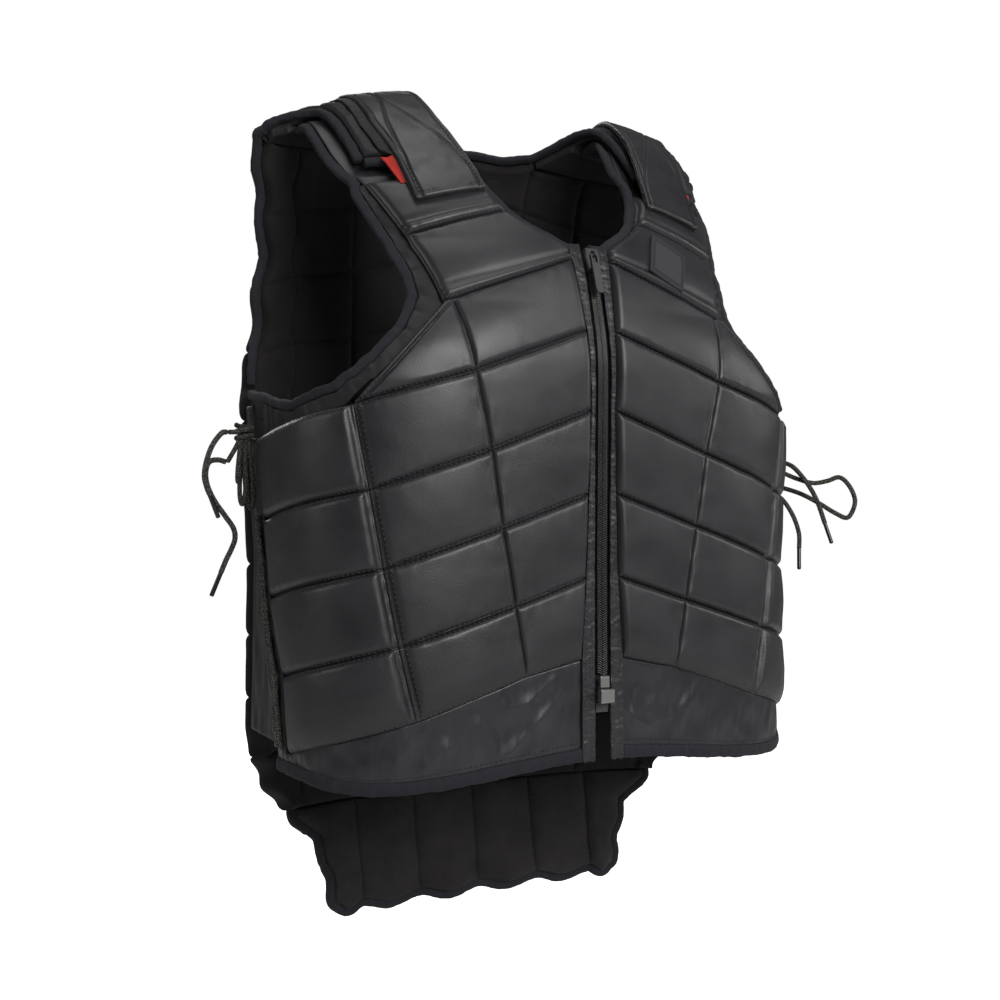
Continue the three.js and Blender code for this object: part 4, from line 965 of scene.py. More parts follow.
@dataclass
class Piece:
    """What every sub-assembly shares: cloth on the form, tapes, stitches, and handing them to the frame."""

    body: str = "vest"
    tape_step: float = 1.7
    tape_wrinkle: float = 0.35
    stitch_pitch: float = 3.4
    stitch_length: float = 2.5
    stitch_radius: float = 0.32

    def dress(self, obj: bpy.types.Object, finish: Finish, slot: str, node: str = "", padded: float | None = None
              ) -> None:
        """Gives a piece its finish, its body, its material slot and the node it stands for.

        Args:
            obj: The piece.
            finish: Its finish.
            slot: The record's material slot; not used.
            node: The CAD node that it replaces, if it replaces one.
            padded: How full it is, where it is a padded piece; not used.
        """
        obj.data.materials.clear()
        obj.data.materials.append(finish.material())
        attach(obj, self.body)
        if node:
            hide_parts(node)
        LOG.info("%s: %d faces", obj.name, len(obj.data.polygons))

    @staticmethod
    def cut(obj: bpy.types.Object, face: Array, held: str, rests_on: str) -> None:
        """Takes a sheet, its outer grid, and how and by what it is held, and does nothing with them.

        Args:
            obj: The sheet; not used.
            face: Its outer grid in millimetres, rows by columns by 3; not used.
            held: How it is held; not used.
            rests_on: Name of what holds it; not used.
        """

    def panel(self, name: str, surface: Surface, a: Array, b: Array, faces: tuple[Array | float, Array | float],
              side: Side | Array, look: Look, padded: float | None = None, held: tuple[str, str] | None = None
              ) -> None:
        """A piece of cloth on the form, with an outer and an inner face.

        Args:
            name: The object's name.
            surface: The form's surface that it lies on.
            a: First pattern coordinates, without sign.
            b: Second pattern coordinates.
            faces: Distance out of its outer and its inner face.
            side: The side, or an array of signs of x.
            look: Its finish, its material slot and the CAD node it replaces, if it replaces one.
            padded: How full it is, where it is a padded piece.
            held: How it is held and by what, where it is a sheet.
        """
        outer, inner = (FORM.lifted(surface, a, b, out, side) for out in faces)
        flat = a if isinstance(side, Side) else a * side
        obj = Cloth.slab(name, outer, inner, np.stack([flat, b], -1))
        self.dress(obj, *look, padded=padded)
        if held is not None:
            self.cut(obj, outer, *held)

    def bound(self, name: str, line: Array, turn: int, node: str, seed: int, profile: Array | None = None,
              soften: float = 3.0) -> None:
        """A tape bound over an edge: a profile carried along the edge, with crosswise wrinkles.

        Args:
            name: The object's name.
            line: The edge's points and normals, six columns.
            turn: Which way the profile lies from the edge.
            node: The CAD node that it replaces.
            seed: The wrinkles' seed.
            profile: Corners across and out, two columns, if not those of the usual binding.
            soften: How far corners of the line are rounded.
        """
        profile = BINDING if profile is None else profile
        run = even(line, self.tape_step)
        reach = max(1, int(round(soften / self.tape_step)))
        weights = np.exp(-0.5 * (np.arange(-2 * reach, 2 * reach + 1) / reach) ** 2)
        weights /= weights.sum()
        wide = np.vstack([np.repeat(run[:1], 2 * reach, 0), run, np.repeat(run[-1:], 2 * reach, 0)])
        soft = np.stack([np.convolve(wide[:, k], weights, "valid") for k in range(6)], -1)
        soft[0], soft[-1] = run[0], run[-1]
        point, normal = soft[:, :3], unit(soft[:, 3:])
        across = unit(np.cross(unit(np.gradient(point, axis=0)), normal)) * turn
        along = np.arange(len(point)) * self.tape_step
        corner = np.arange(len(profile))[None]
        bend = ripple(along[:, None] / 3.1, corner * 0.35, seed) * self.tape_wrinkle
        bend = bend + ripple(along[:, None] / 9.0, corner * 0.2, seed + 1) * self.tape_wrinkle
        shaped = profile[None] + unit(profile - profile.mean(0))[None] * bend[..., None]
        sections = point[:, None] + across[:, None] * shaped[..., :1] + normal[:, None] * shaped[..., 1:]
        self.dress(Cloth.band(name, along, sections), Finish.TAPE, "binding_grey", node)

    def stitches(self, name: str, lines: Sequence[Array], finish: Finish = Finish.THREAD, slot: str = "outer_black"
                 ) -> None:
        """A run of stitches along lines: each is a small spindle laid on the cloth.

        Args:
            name: The object's name.
            lines: Each line's points and normals, six columns.
            finish: The thread's finish.
            slot: The record's material slot.
        """
        places, ways = [], []
        for line in lines:
            run = even(line, self.stitch_pitch)
            tangent = unit(np.gradient(run[:, :3], axis=0))
            normal = unit(run[:, 3:6])
            across = unit(np.cross(tangent, normal))
            places.append(run[:, :3] + normal * self.stitch_radius * 0.4)
            ways.append(np.stack([tangent * self.stitch_length / 2, across * self.stitch_radius,
                                  np.cross(tangent, across) * self.stitch_radius], 1))
        obj = Cloth.copies(name, OCTA, OCTA_FACES, np.vstack(places), np.concatenate(ways))
        self.dress(obj, finish, slot)


def pattern_line(surface: Surface, a: Array, b: Array, out: Array | float, side: Side | Array) -> Array:
    """A line on the form as points and normals, six columns.

    Args:
        surface: The form's surface.
        a: First pattern coordinates, without sign.
        b: Second pattern coordinates.
        out: Distance out.
        side: The side, or an array of signs of x.

    Returns:
        The rows.
    """
    point, normal = FORM.frames(surface, a, b)
    moved = point + normal * np.broadcast_to(np.asarray(out, float), np.shape(a))[..., None]
    sign = side.value if isinstance(side, Side) else np.asarray(side, float)
    moved[..., 0] *= sign
    normal = normal.copy()
    normal[..., 0] *= sign
    return np.concatenate([moved, normal], -1)


@dataclass
class PaddedFront(Piece):
    """One padded half of the front: quilted blocks, shoulder tab, side blocks and their sewing."""

    side: Side = Side.LEFT
    row_depth: float = 5.6
    crease_depth: float = 3.2
    crown: float = 1.5
    ridge: float = 1.5
    tab_thickness: float = 5.4

    def relief(self, row: Array, column: Array) -> Array:
        """Height of the front's surface over its form.

        A block stands level between sewn grooves: each groove is a flat floor with quarter-round
        edges, and the block's middle is crowned. Above a yoke seam runs a raised ridge. Slow and
        quick noise dents the faces, and short waves pucker the cloth beside the stitches.

        Args:
            row: Rows from the foot up.
            column: Columns from 0 at the zip to 2.

        Returns:
            Heights in millimetres.
        """
        s, w = FRONT.place(row, column)
        seed = 11 if self.side is Side.LEFT else 47
        low = np.minimum(row, 6.999)
        inner = (FRONT.outline.read(low, "mid_out") - FRONT.outline.read(low, "zip_out")) * COLUMN
        outer = (FRONT.outline.read(low, "side_out") - FRONT.outline.read(low, "mid_out")) * COLUMN
        outer = np.maximum(outer, 6.0)
        across = np.clip(column, 0, 1) * inner + np.clip(column - 1, 0, 1) * outer
        nearest = np.round(row)
        d_row = np.where(row > 7, 60.0, np.abs(row - nearest) * PITCH * 0.98)
        d_mid = np.where(row < 5, np.abs(across - inner), 60.0)
        d_zip, d_side = across, inner + outer - across
        signed = (row - nearest) * PITCH
        yoked = (nearest == 5) | (nearest == 6)
        sewn = np.where(row < 0.5, groove(d_row, EDGE - 0.4, 0.2, 17.0), groove(d_row, self.row_depth, 0.25, 4.2))
        piped = groove(np.abs(signed), 4.2, 0.3, 2.8)
        slanted = np.clip((row - 4.02) * 20, 0, 1) * (row < 5)
        depth = deepest(
            np.where(yoked, piped, sewn), groove(d_mid, self.crease_depth, 0.2, 3.4),
            groove(d_zip, EDGE, 0.4, 5.0), groove(d_side, 3.6, np.where(row < 4.05, 3.2, 0.4), 5.0),
            slanted * groove(np.abs(d_side - 6.6), 2.6, 0.2, 2.4),
        )
        depth = np.where(row > 7, groove(np.minimum(d_zip, d_side), 2.0, 0.2, 4.0), depth)
        crown = self.crown * (1 - np.exp(-d_row / 12)) * (1 - np.exp(-np.minimum(d_mid, d_side) / 15))
        ridge = self.ridge * np.exp(-(((signed - 4.6) / 2.6) ** 2))
        yoke = yoked * (ridge - 0.7 * np.exp(-(((signed - 10.0) / 2.4) ** 2)))
        yoke = yoke + 1.6 * slanted * np.exp(-(((d_side - 3.4) / 1.7) ** 2))
        near = np.exp(-np.minimum(d_row, d_mid) / 4.5)
        pucker = near * waves(s, w, (0.5, 3.4, 9.0, seed), (0.35, 8.0, 6.0, seed + 1))
        slow = waves(s, w, (0.4, 36.0, 26.0, seed + 2), (0.1, 12.0, 10.0, seed + 3))
        return crown - depth + yoke + pucker + slow * (1 - near) * np.where(row > 7, 0.4, 1.0)

    def sunk(self, row: Array, column: Array) -> Array:
        """The surface's height with the shoulder tab sunk under the rear flap."""
        _, w = FRONT.place(row, column)
        return lerp(self.relief(row, column), -(PAD - self.tab_thickness), FRONT.lap(w))

    def build(self) -> None:
        """Makes the front half, its side blocks, its laced edge and the sewing."""
        word = self.side.word
        rows = np.concatenate([stations(34, 7), 7 + np.linspace(0, 1, 26)[1:]])
        columns = stations(46, 2)
        row, column = np.meshgrid(rows, columns, indexing="ij")
        s, w = FRONT.place(row, column)
        lap = FRONT.lap(w)
        outer = self.sunk(row, column)
        d_row = np.abs(row - np.round(row)) * PITCH
        edge = np.minimum(np.minimum(column, 2 - column) * 60.0, 30.0)
        inner = -PAD + (1 - lap) * deepest(groove(d_row, 2.5, 0.5, 7.0), groove(edge, EDGE, 0.2, 7.0))
        inner = np.minimum(inner, outer - 1.6)
        self.panel(f"front_pad_{word}", FORM.front, s, w, (outer, inner), self.side,
                   (Finish.OUTER, "outer_black", f"front_panel_{word}"), padded=0.8)
        self.build_flank()
        self.build_sewing()

    def flank_relief(self, row: Array, column: Array) -> Array:
        """Height of the side blocks: grooves on the rows and a flat strip along the front seam.

        Args:
            row: Rows from the foot up.
            column: From 0 at the front seam to 1.

        Returns:
            Heights in millimetres.
        """
        s, w = FRONT.flank_place(row, column)
        seed = 23 if self.side is Side.LEFT else 71
        d_row = np.abs(row - np.round(row)) * PITCH
        width = (FRONT.flank.read(row, "rear_out") - FRONT.outline.read(row, "side_out")) * COLUMN
        d_front, d_rear = column * width, (1 - column) * width
        sewn = np.where(row < 0.5, groove(d_row, EDGE - 0.4, 0.2, 17.0), groove(d_row, self.row_depth, 0.25, 4.8))
        depth = deepest(sewn, groove(d_front, 3.6, 3.0, 5.0), groove(d_rear, EDGE, 0.6, 7.0))
        near = np.exp(-np.minimum(d_row, np.minimum(d_front, d_rear)) / 4.5)
        pucker = 0.55 * near * ripple(s / 3.4, w / 6.0, seed)
        slow = waves(s, w, (0.5, 34.0, 24.0, seed + 1), (0.14, 11.0, 9.0, seed + 2))
        crown = 1.8 * (1 - np.exp(-d_row / 12)) * (1 - np.exp(-np.minimum(d_front, d_rear) / 15))
        return crown - depth + pucker + slow * (1 - near)

    def build_flank(self) -> None:
        """Makes the side block column and the laced edge behind it."""
        word = self.side.word
        row, column = np.meshgrid(stations(34, 4), stations(60, 1, 0.4), indexing="ij")
        s, w = FRONT.flank_place(row, column)
        outer = self.flank_relief(row, column)
        inner = np.minimum(-PAD + groove(np.minimum(column, 1 - column) * 90, EDGE, 0.2, 7.0), outer - 1.6)
        self.panel(f"side_pad_{word}", FORM.front, s, w, (outer, inner), self.side,
                   (Finish.OUTER, "outer_black", f"side_panel_{word}"), padded=0.8)
        row, column = np.meshgrid(np.linspace(0, 4, 161), np.linspace(0, 1, 13), indexing="ij")
        s, w = FRONT.lace_place(row, column)
        wave = waves(s, w, (0.5, 9.0, 7.0, 5), (0.25, 4.0, 3.0, 6))
        self.panel(f"laced_edge_{word}", FORM.front, s, w, (-2.0 + wave, -4.6 + wave), self.side,
                   (Finish.MATT, "outer_black", f"side_edge_{word}"), held=("stretched", f"side_pad_{word}"))

    def sewn(self, row: Array, column: Array, height: Surface) -> Array:
        """A line on the front through pattern places, at the height that a method of this class gives there."""
        return pattern_line(FORM.front, *FRONT.place(row, column), height(row, column), self.side)

    def build_sewing(self) -> None:
        """Lays the stitches of the row grooves, the yoke ridges, the middle crease and the side strip."""
        seams = [(seam, offset) for seam in range(1, 5) for offset in (-1.3, 1.3)]
        seams += [(5, -1.2), (5, 1.6), (6, -1.2), (6, 1.6), (0, 1.6)]
        across = np.linspace(0.03, 1.97, 90)
        lines = [self.sewn(np.full(90, seam + offset / PITCH), across, self.sunk) for seam, offset in seams]
        lines.append(self.sewn(np.linspace(0.03, 4.97, 160), np.full(160, 1.0), self.relief))
        for low, high, count, insets, least in ((0.03, 4.0, 140, (1.2, 4.0), 0.0), (4.04, 5.0, 50, (2.4, 4.4), 7.0)):
            row = np.linspace(low, high, count)
            outer = (FRONT.outline.read(row, "side_out") - FRONT.outline.read(row, "mid_out")) * COLUMN
            lines += [self.sewn(row, 2.0 - inset / np.maximum(outer, least), self.relief) for inset in insets]
        for seam in range(5):
            for offset in {0: (1.6,), 4: (-1.6,)}.get(seam, (-1.3, 1.3)):
                row, column = np.full(60, seam + offset / PITCH), np.linspace(0.05, 0.97, 60)
                height = self.flank_relief(row, column)
                lines.append(pattern_line(FORM.front, *FRONT.flank_place(row, column), height, self.side))
        self.stitches(f"front_stitches_{self.side.word}", lines)


def rounded(across: tuple[float, float], out: tuple[float, float], power: float = 2.8, corners: int = 14) -> Array:
    """A rounded profile in a box: a superellipse with the given power.

    Args:
        across: Low and high across.
        out: Low and high outwards.
        power: The superellipse's power.
        corners: Number of corners.

    Returns:
        Corners across and out.
    """
    turn = np.linspace(0.0, 2 * math.pi, corners, endpoint=False)
    c, s = np.cos(turn), np.sin(turn)
    x = np.sign(c) * np.abs(c) ** (2 / power)
    y = np.sign(s) * np.abs(s) ** (2 / power)
    half = np.array([(across[1] - across[0]) / 2, (out[1] - out[0]) / 2])
    return np.stack([x, y], -1) * half + np.array([sum(across) / 2, sum(out) / 2])


BINDING = rounded((0.3, 6.8), (-10.6, -5.5), 3.4)


@dataclass
class FrontEdges(Piece):
    """What trims a front half: skirt, hem, gusset, armhole and neck bindings, and the zip facing."""

    side: Side = Side.LEFT

    def build(self) -> None:
        """Makes the trims."""
        self.build_skirt()
        self.build_hem()
        self.build_gusset()
        self.build_bindings()
        self.build_facing()
        self.build_strip()

    def hem_path(self, count: int) -> tuple[Array, Array]:
        """Girths along the foot of the foam and its heights there, from the zip to the lacing."""
        column = np.linspace(0, 2, 60)
        s0, w0 = FRONT.place(np.zeros(60), column)
        rear = np.linspace(0.05, 1, 40)
        s1, w1 = FRONT.flank_place(np.zeros(40), rear)
        s2, w2 = FRONT.lace_place(np.zeros(2), np.array([0.5, 1.0]))
        s, w = np.concatenate([s0, s1, s2]), np.concatenate([w0, w1, w2])
        at = np.linspace(s[0], s[-1], count)
        return at, np.interp(at, s, w)

    def build_skirt(self) -> None:
        """Thin cloth from the foam to the hem, wrinkled in slanting folds."""
        word = self.side.word
        s, top = self.hem_path(300)
        share = np.linspace(0, 1, 44)[:, None]
        foot = FRONT.hem(s) + 8.1
        w = lerp(foot[None], (top - GAP)[None], share)
        s = np.broadcast_to(s, w.shape)
        seed = 31 if self.side is Side.LEFT else 87
        free = np.sin(np.pi * share) ** 0.7
        turn = s * 0.8 + w * 0.9
        near_zip = 0.35 + 0.65 * np.exp(-(((s - 45) / 55.0) ** 2))
        folds = 2.3 * (0.45 - np.abs(ripple(turn / 21.0, (w - s) / 60.0, seed)))
        folds = folds + waves(s - w * 0.6, w, (0.8, 9.0, 20.0, seed + 1))
        gathers = waves(s, w, (0.5, 3.6, 12.0, seed + 2))
        out = -5.0 + free * folds * near_zip + (0.25 + 0.5 * free) * gathers
        self.panel(f"skirt_{word}", FORM.front, s, w, (out, out - 1.5), self.side,
                   (Finish.NYLON, "nylon_black", f"front_skirt_{word}"), held=("hung", f"front_pad_{word}"))
        line = pattern_line(FORM.front, s[3], w[3], out[3] + 0.1, self.side)
        self.stitches(f"skirt_stitches_{word}", [line], finish=Finish.DARK_THREAD, slot="nylon_black")

    def build_hem(self) -> None:
        """The bound hem: a flat bar with rounded corners along the skirt's foot."""
        s, _ = self.hem_path(260)
        line = pattern_line(FORM.front, s, FRONT.hem(s) + 9.0, 0.0, self.side)
        self.bound(f"hem_tape_{self.side.word}", line, self.side.value, f"hem_binding_{self.side.word}", 61,
                   rounded((GAP, 9.0), (-8.1, -3.3), 3.4))

    def build_gusset(self) -> None:
        """Stretch cloth between the foam and the armhole's binding, gathered towards the binding."""
        word = self.side.word
        near, far = FRONT.gusset_lines()
        length = np.concatenate([[0], np.cumsum(np.linalg.norm(np.diff((near + far) / 2, axis=0), axis=1))])
        at = np.linspace(0, length[-1], 260)
        near = np.stack([np.interp(at, length, near[:, k]) for k in (0, 1)], -1)
        far = np.stack([np.interp(at, length, far[:, k]) for k in (0, 1)], -1)
        share = np.linspace(0, 1, 16)[None, :, None]
        place = lerp(near[:, None], far[:, None], share)
        s, w = place[..., 0], place[..., 1]
        gather = ripple(at[:, None] / 4.2, share[..., 0] * 0.9, 17) * (0.35 + 0.75 * share[..., 0])
        out = -6.0 + 0.9 * gather
        self.panel(f"armhole_gusset_{word}", FORM.front, s, w, (out, out - 2.4), self.side,
                   (Finish.MATT, "lining_black", f"gusset_{word}"), held=("stretched", f"front_pad_{word}"))

    def arm_line(self) -> Array:
        """The front armhole's edge: down the tab, along the gusset and round the side."""
        share = np.linspace(1, 0.02, 60)
        s, w = FRONT.place(7 + share, np.full(60, 2.0))
        tab = pattern_line(FORM.front, s, w, -6 * eased(share, 0, 0.3), self.side)
        _, far = FRONT.gusset_lines()
        fine = even(np.column_stack([far, np.zeros(len(far))]), 1.5)
        edge = pattern_line(FORM.front, fine[:, 0], fine[:, 1], 0.0, self.side)
        end = FORM.front_girth + FORM.back_girth * (1 - GIRTH_EDGE) - 2
        share = np.linspace(0.03, 1, 30)
        rear = pattern_line(FORM.side, lerp(far[-1, 0], end, share), far[-1, 1] + 4.5 * share, 0.0, self.side)
        return np.vstack([tab, edge, rear])

    def neck_line(self) -> Array:
        """The front neck's edge: from the zip out along the collar seam and up the tab."""
        s0, w0 = FRONT.place(5.33, 0.0)
        first = pattern_line(FORM.front, np.linspace(4.25, s0, 8), np.full(8, float(w0)), 0.0, self.side)
        row = np.linspace(5.33, 7, 80)
        s, w = FRONT.place(row, np.zeros(80))
        second = pattern_line(FORM.front, s, w, 0.0, self.side)
        share = np.linspace(0.02, 1, 60)
        s, w = FRONT.place(7 + share, np.zeros(60))
        third = pattern_line(FORM.front, s, w, -6 * eased(share, 0, 0.3), self.side)
        return np.vstack([first, second, third])

    def build_bindings(self) -> None:
        """The tapes bound over the armhole's and the neck's front edges."""
        word, turn = self.side.word, -self.side.value
        self.bound(f"armhole_tape_{word}", self.arm_line(), turn, f"armhole_binding_{word}", 5)
        self.bound(f"neck_tape_{word}", self.neck_line(), turn, f"neck_binding_{word}", 7, soften=2.0)

    def build_facing(self) -> None:
        """The flat facing between the foam and the zip, puckered by two double lines of stitches."""
        word = self.side.word
        w = np.linspace(float(FRONT.hem(0.0)) + GAP, float(FRONT.place(5.33, 0.0)[1]) - GAP, 480)
        row = np.linspace(0, 5.33, 200)
        s_row, w_row = FRONT.place(row, np.zeros(200))
        edge = np.interp(w, w_row, s_row) - GAP
        s = lerp(6.2, edge[:, None], np.linspace(0, 1, 15)[None])
        w = np.broadcast_to(w[:, None], s.shape)
        seed = self.side.value
        out = -2.6 + waves(s, w, (0.28, 3.5, 1.9, 85 + seed), turned=True)
        out = out + waves(s, w, (0.4, 6.0, 7.0, 83 + seed), (0.15, 4.0, 2.6, 84), turned=True)
        self.panel(f"facing_{word}", FORM.front, s, w, (out, out - 1.6), self.side,
                   (Finish.OUTER, "outer_black", f"zip_facing_{word}"))
        lines = [pattern_line(FORM.front, s[:, k], w[:, k], out[:, k], self.side) for k in (2, 4, 10, 12)]
        self.stitches(f"facing_stitches_{word}", lines)

    def build_strip(self) -> None:
        """The cloth behind the lacing, from the laced edge round to the back."""
        word = self.side.word
        row = np.linspace(0, 4, 120)
        s0, w0 = FRONT.lace_place(row, np.ones(120))
        edge = BACK.edge_at(w0)
        far = FORM.front_girth + FORM.back_girth - edge - 1.2
        high = FRONT.gusset_lines()[1][-1, 1] - GAP
        w0 = np.where(row > 3.5, lerp(w0, high, (row - 3.5) * 2), w0)
        share = np.linspace(0, 1, 30)[None]
        p = lerp((s0 + GAP)[:, None], far[:, None], share)
        w = np.broadcast_to(w0[:, None], p.shape)
        out = -4.0 + 0.7 * ripple(p / 8.0, w / 16.0, 91 + self.side.value) * np.sin(np.pi * share)
        self.panel(f"lacing_cloth_{word}", FORM.side, p, w, (out, out - 2.4), self.side,
                   (Finish.MATT, "binding_grey", f"side_strip_{word}"), held=("stretched", f"laced_edge_{word}"))


@dataclass
class Shoulder(Piece):
    """One shoulder: the rear flap, the strap with its loop patch, and the red tab."""

    side: Side = Side.LEFT
    flap_thickness: float = 10.0

    def build(self) -> None:
        """Makes the shoulder's cloths and their sewing."""
        self.build_flap()
        self.build_strap()
        self.build_tab()

    def build_flap(self) -> None:
        """The padded rear flap: a soft slab with lines sewn lengthwise and a worn, mottled face."""
        word = self.side.word
        v = np.linspace(-BACK.flap_back + 2.6, BACK.flap_front, 190)[:, None]
        column = np.linspace(0, 1, 120)[None]
        x, v = BACK.flap_place(v, column)
        edge = np.minimum(column, 1 - column) * 80
        end = BACK.flap_front - v
        lines = np.min([np.abs(column - c) for c in (0.2, 0.5, 0.8)], axis=0) * 85
        seed = 13 if self.side is Side.LEFT else 29
        out = 0.7 - 2.7 * quarter(np.minimum(edge, end) / 5) - 0.6 * np.exp(-((lines / 1.6) ** 2))
        out = out + waves(x, v, (0.55, 12.0, 9.0, seed), (0.3, 4.0, 4.5, seed + 1))
        full = eased(-v, BACK.flap_back - 34, BACK.flap_back - 30)
        thick = lerp(self.flap_thickness, PAD - 1.0, full)
        inner = -thick + waves(x, v, (0.5, 14.0, 11.0, seed + 2))
        self.panel(f"shoulder_pad_{word}", FORM.shoulder, x, v, (out, inner), self.side,
                   (Finish.MATT, "outer_black", f"shoulder_flap_{word}"), padded=0.7)
        sewn = [pattern_line(FORM.shoulder, x[:, k], v[:, k], out[:, k], self.side) for k in (24, 60, 95)]
        self.stitches(f"shoulder_stitches_{word}", sewn, finish=Finish.DARK_THREAD)
        share = np.linspace(0, 1, 60)
        x, v = BACK.flap_place(np.full(60, BACK.flap_front), 1 - share)
        line = pattern_line(FORM.shoulder, x, v, 3.0, self.side)
        self.bound(f"flap_tape_{word}", line, -self.side.value, f"flap_end_binding_{word}", 41,
                   rounded((GAP, 7.0), (-10.0, -5.0)))
        self.build_rear_binding()

    def build_rear_binding(self) -> None:
        """The tape up the back's armhole and over the shoulder along the flap."""
        row = np.linspace(6.5, 10, 110)
        s, w = BACK.place(row, np.full(110, 4.0))
        lower = pattern_line(FORM.back, s + 3 * GAP, w, 0.0, self.side)
        v = np.linspace(-BACK.flap_back + 2.6, BACK.flap_front, 120)
        x, v = BACK.flap_place(v, 1.0)
        upper = pattern_line(FORM.shoulder, x, v, 3 * eased(v, -BACK.flap_back, -18), self.side)
        self.bound(f"back_arm_tape_{self.side.word}", np.vstack([lower, upper]), -self.side.value,
                   f"back_arm_binding_{self.side.word}", 43)

    def build_strap(self) -> None:
        """The smooth strap over its brushed loop patch, with edge lines and two lines that cross."""
        word = self.side.word
        v0 = np.linspace(-BACK.strap_back, BACK.strap_front, 170)[:, None]
        for name, proud, base, wall, count, finish, slot, node in (
            ("strap_cloth", 0.0, 3.2, 2.6, 64, Finish.OUTER, "outer_black", "strap"),
            ("loop_patch", 7.0, 1.7, 1.2, 80, Finish.PILE, "loop_black", "strap_patch"),
        ):
            column = np.linspace(0, 1, count)[None]
            x, v = BACK.strap_place(v0, column, proud)
            x = x - np.where(finish is Finish.PILE, (proud - 1.0) * column * eased(v0, 90, 98), 0.0)
            edge = np.minimum(np.minimum(column, 1 - column) * 46, np.minimum(v0 + 36, BACK.strap_front - v0))
            round_off = quarter(edge / 2.0)
            if finish is Finish.PILE:
                out = base + wall - 0.5 * round_off + waves(x, v, (0.35, 1.3, 1.3, 7))
            else:
                wave = waves(x, v, (0.5, 17.0, 13.0, 19 + self.side.value), (0.22, 5.0, 7.0, 20))
                seams = np.min([np.abs(column - c) * 46 for c in self.strap_seams(v0)], axis=0)
                out = base + wall - 1.1 * round_off + wave - np.exp(-(seams**2))
            self.panel(f"{name}_{word}", FORM.shoulder, x, v, (out, base), self.side,
                       (finish, slot, f"{node}_{word}"), held=("laid", f"shoulder_pad_{word}"))
        self.build_strap_sewing()

    @staticmethod
    def strap_seams(v: Array) -> tuple[Array, ...]:
        """Columns of the strap's four sewn lines: two curves that cross, and one along each edge."""
        return (lerp(0.84, 0.07, eased(v, -20, 122)), lerp(0.55, 0.92, eased(v, -15, 118)), 0.06 + 0 * v, 0.94 + 0 * v)

    def build_strap_sewing(self) -> None:
        """Stitches along the strap's seams and across its end."""
        v = np.linspace(-33, BACK.strap_front - 5, 120)
        lines = []
        for column in self.strap_seams(v):
            x, along = BACK.strap_place(v, column, 0.0)
            lines.append(pattern_line(FORM.shoulder, x, along, 5.15, self.side))
        x, along = BACK.strap_place(np.full(40, BACK.strap_front - 4), np.linspace(0.06, 0.94, 40), 0.0)
        lines.append(pattern_line(FORM.shoulder, x, along, 5.75, self.side))
        self.stitches(f"strap_stitches_{self.side.word}", lines, finish=Finish.DARK_THREAD)

    def build_tab(self) -> None:
        """The folded red tab that shows beside the strap's end."""
        v = np.linspace(BACK.flap_front + 6, BACK.flap_front + 32, 60)[:, None]
        share = (v - v[0]) / (v[-1] - v[0])
        edge, _ = BACK.strap_place(v, 1.0, 0.0)
        across = np.linspace(-4.0, 1.0, 30)[None]
        x = edge + np.where(across < 0, across, across * lerp(8.5, 4.5, share))
        v = np.broadcast_to(v, x.shape)
        fold = np.clip(across, 0, 1)
        out = 1.9 - 1.3 * fold + 0.5 * np.sin(fold * 8.0) * (1 - 0.4 * share) + 0.12 * np.sin(v * 2.6)
        self.panel(f"signal_tab_{self.side.word}", FORM.shoulder, x, v, (out, out - 1.0), self.side,
                   (Finish.RED, "signal_red", f"red_tab_{self.side.word}"))


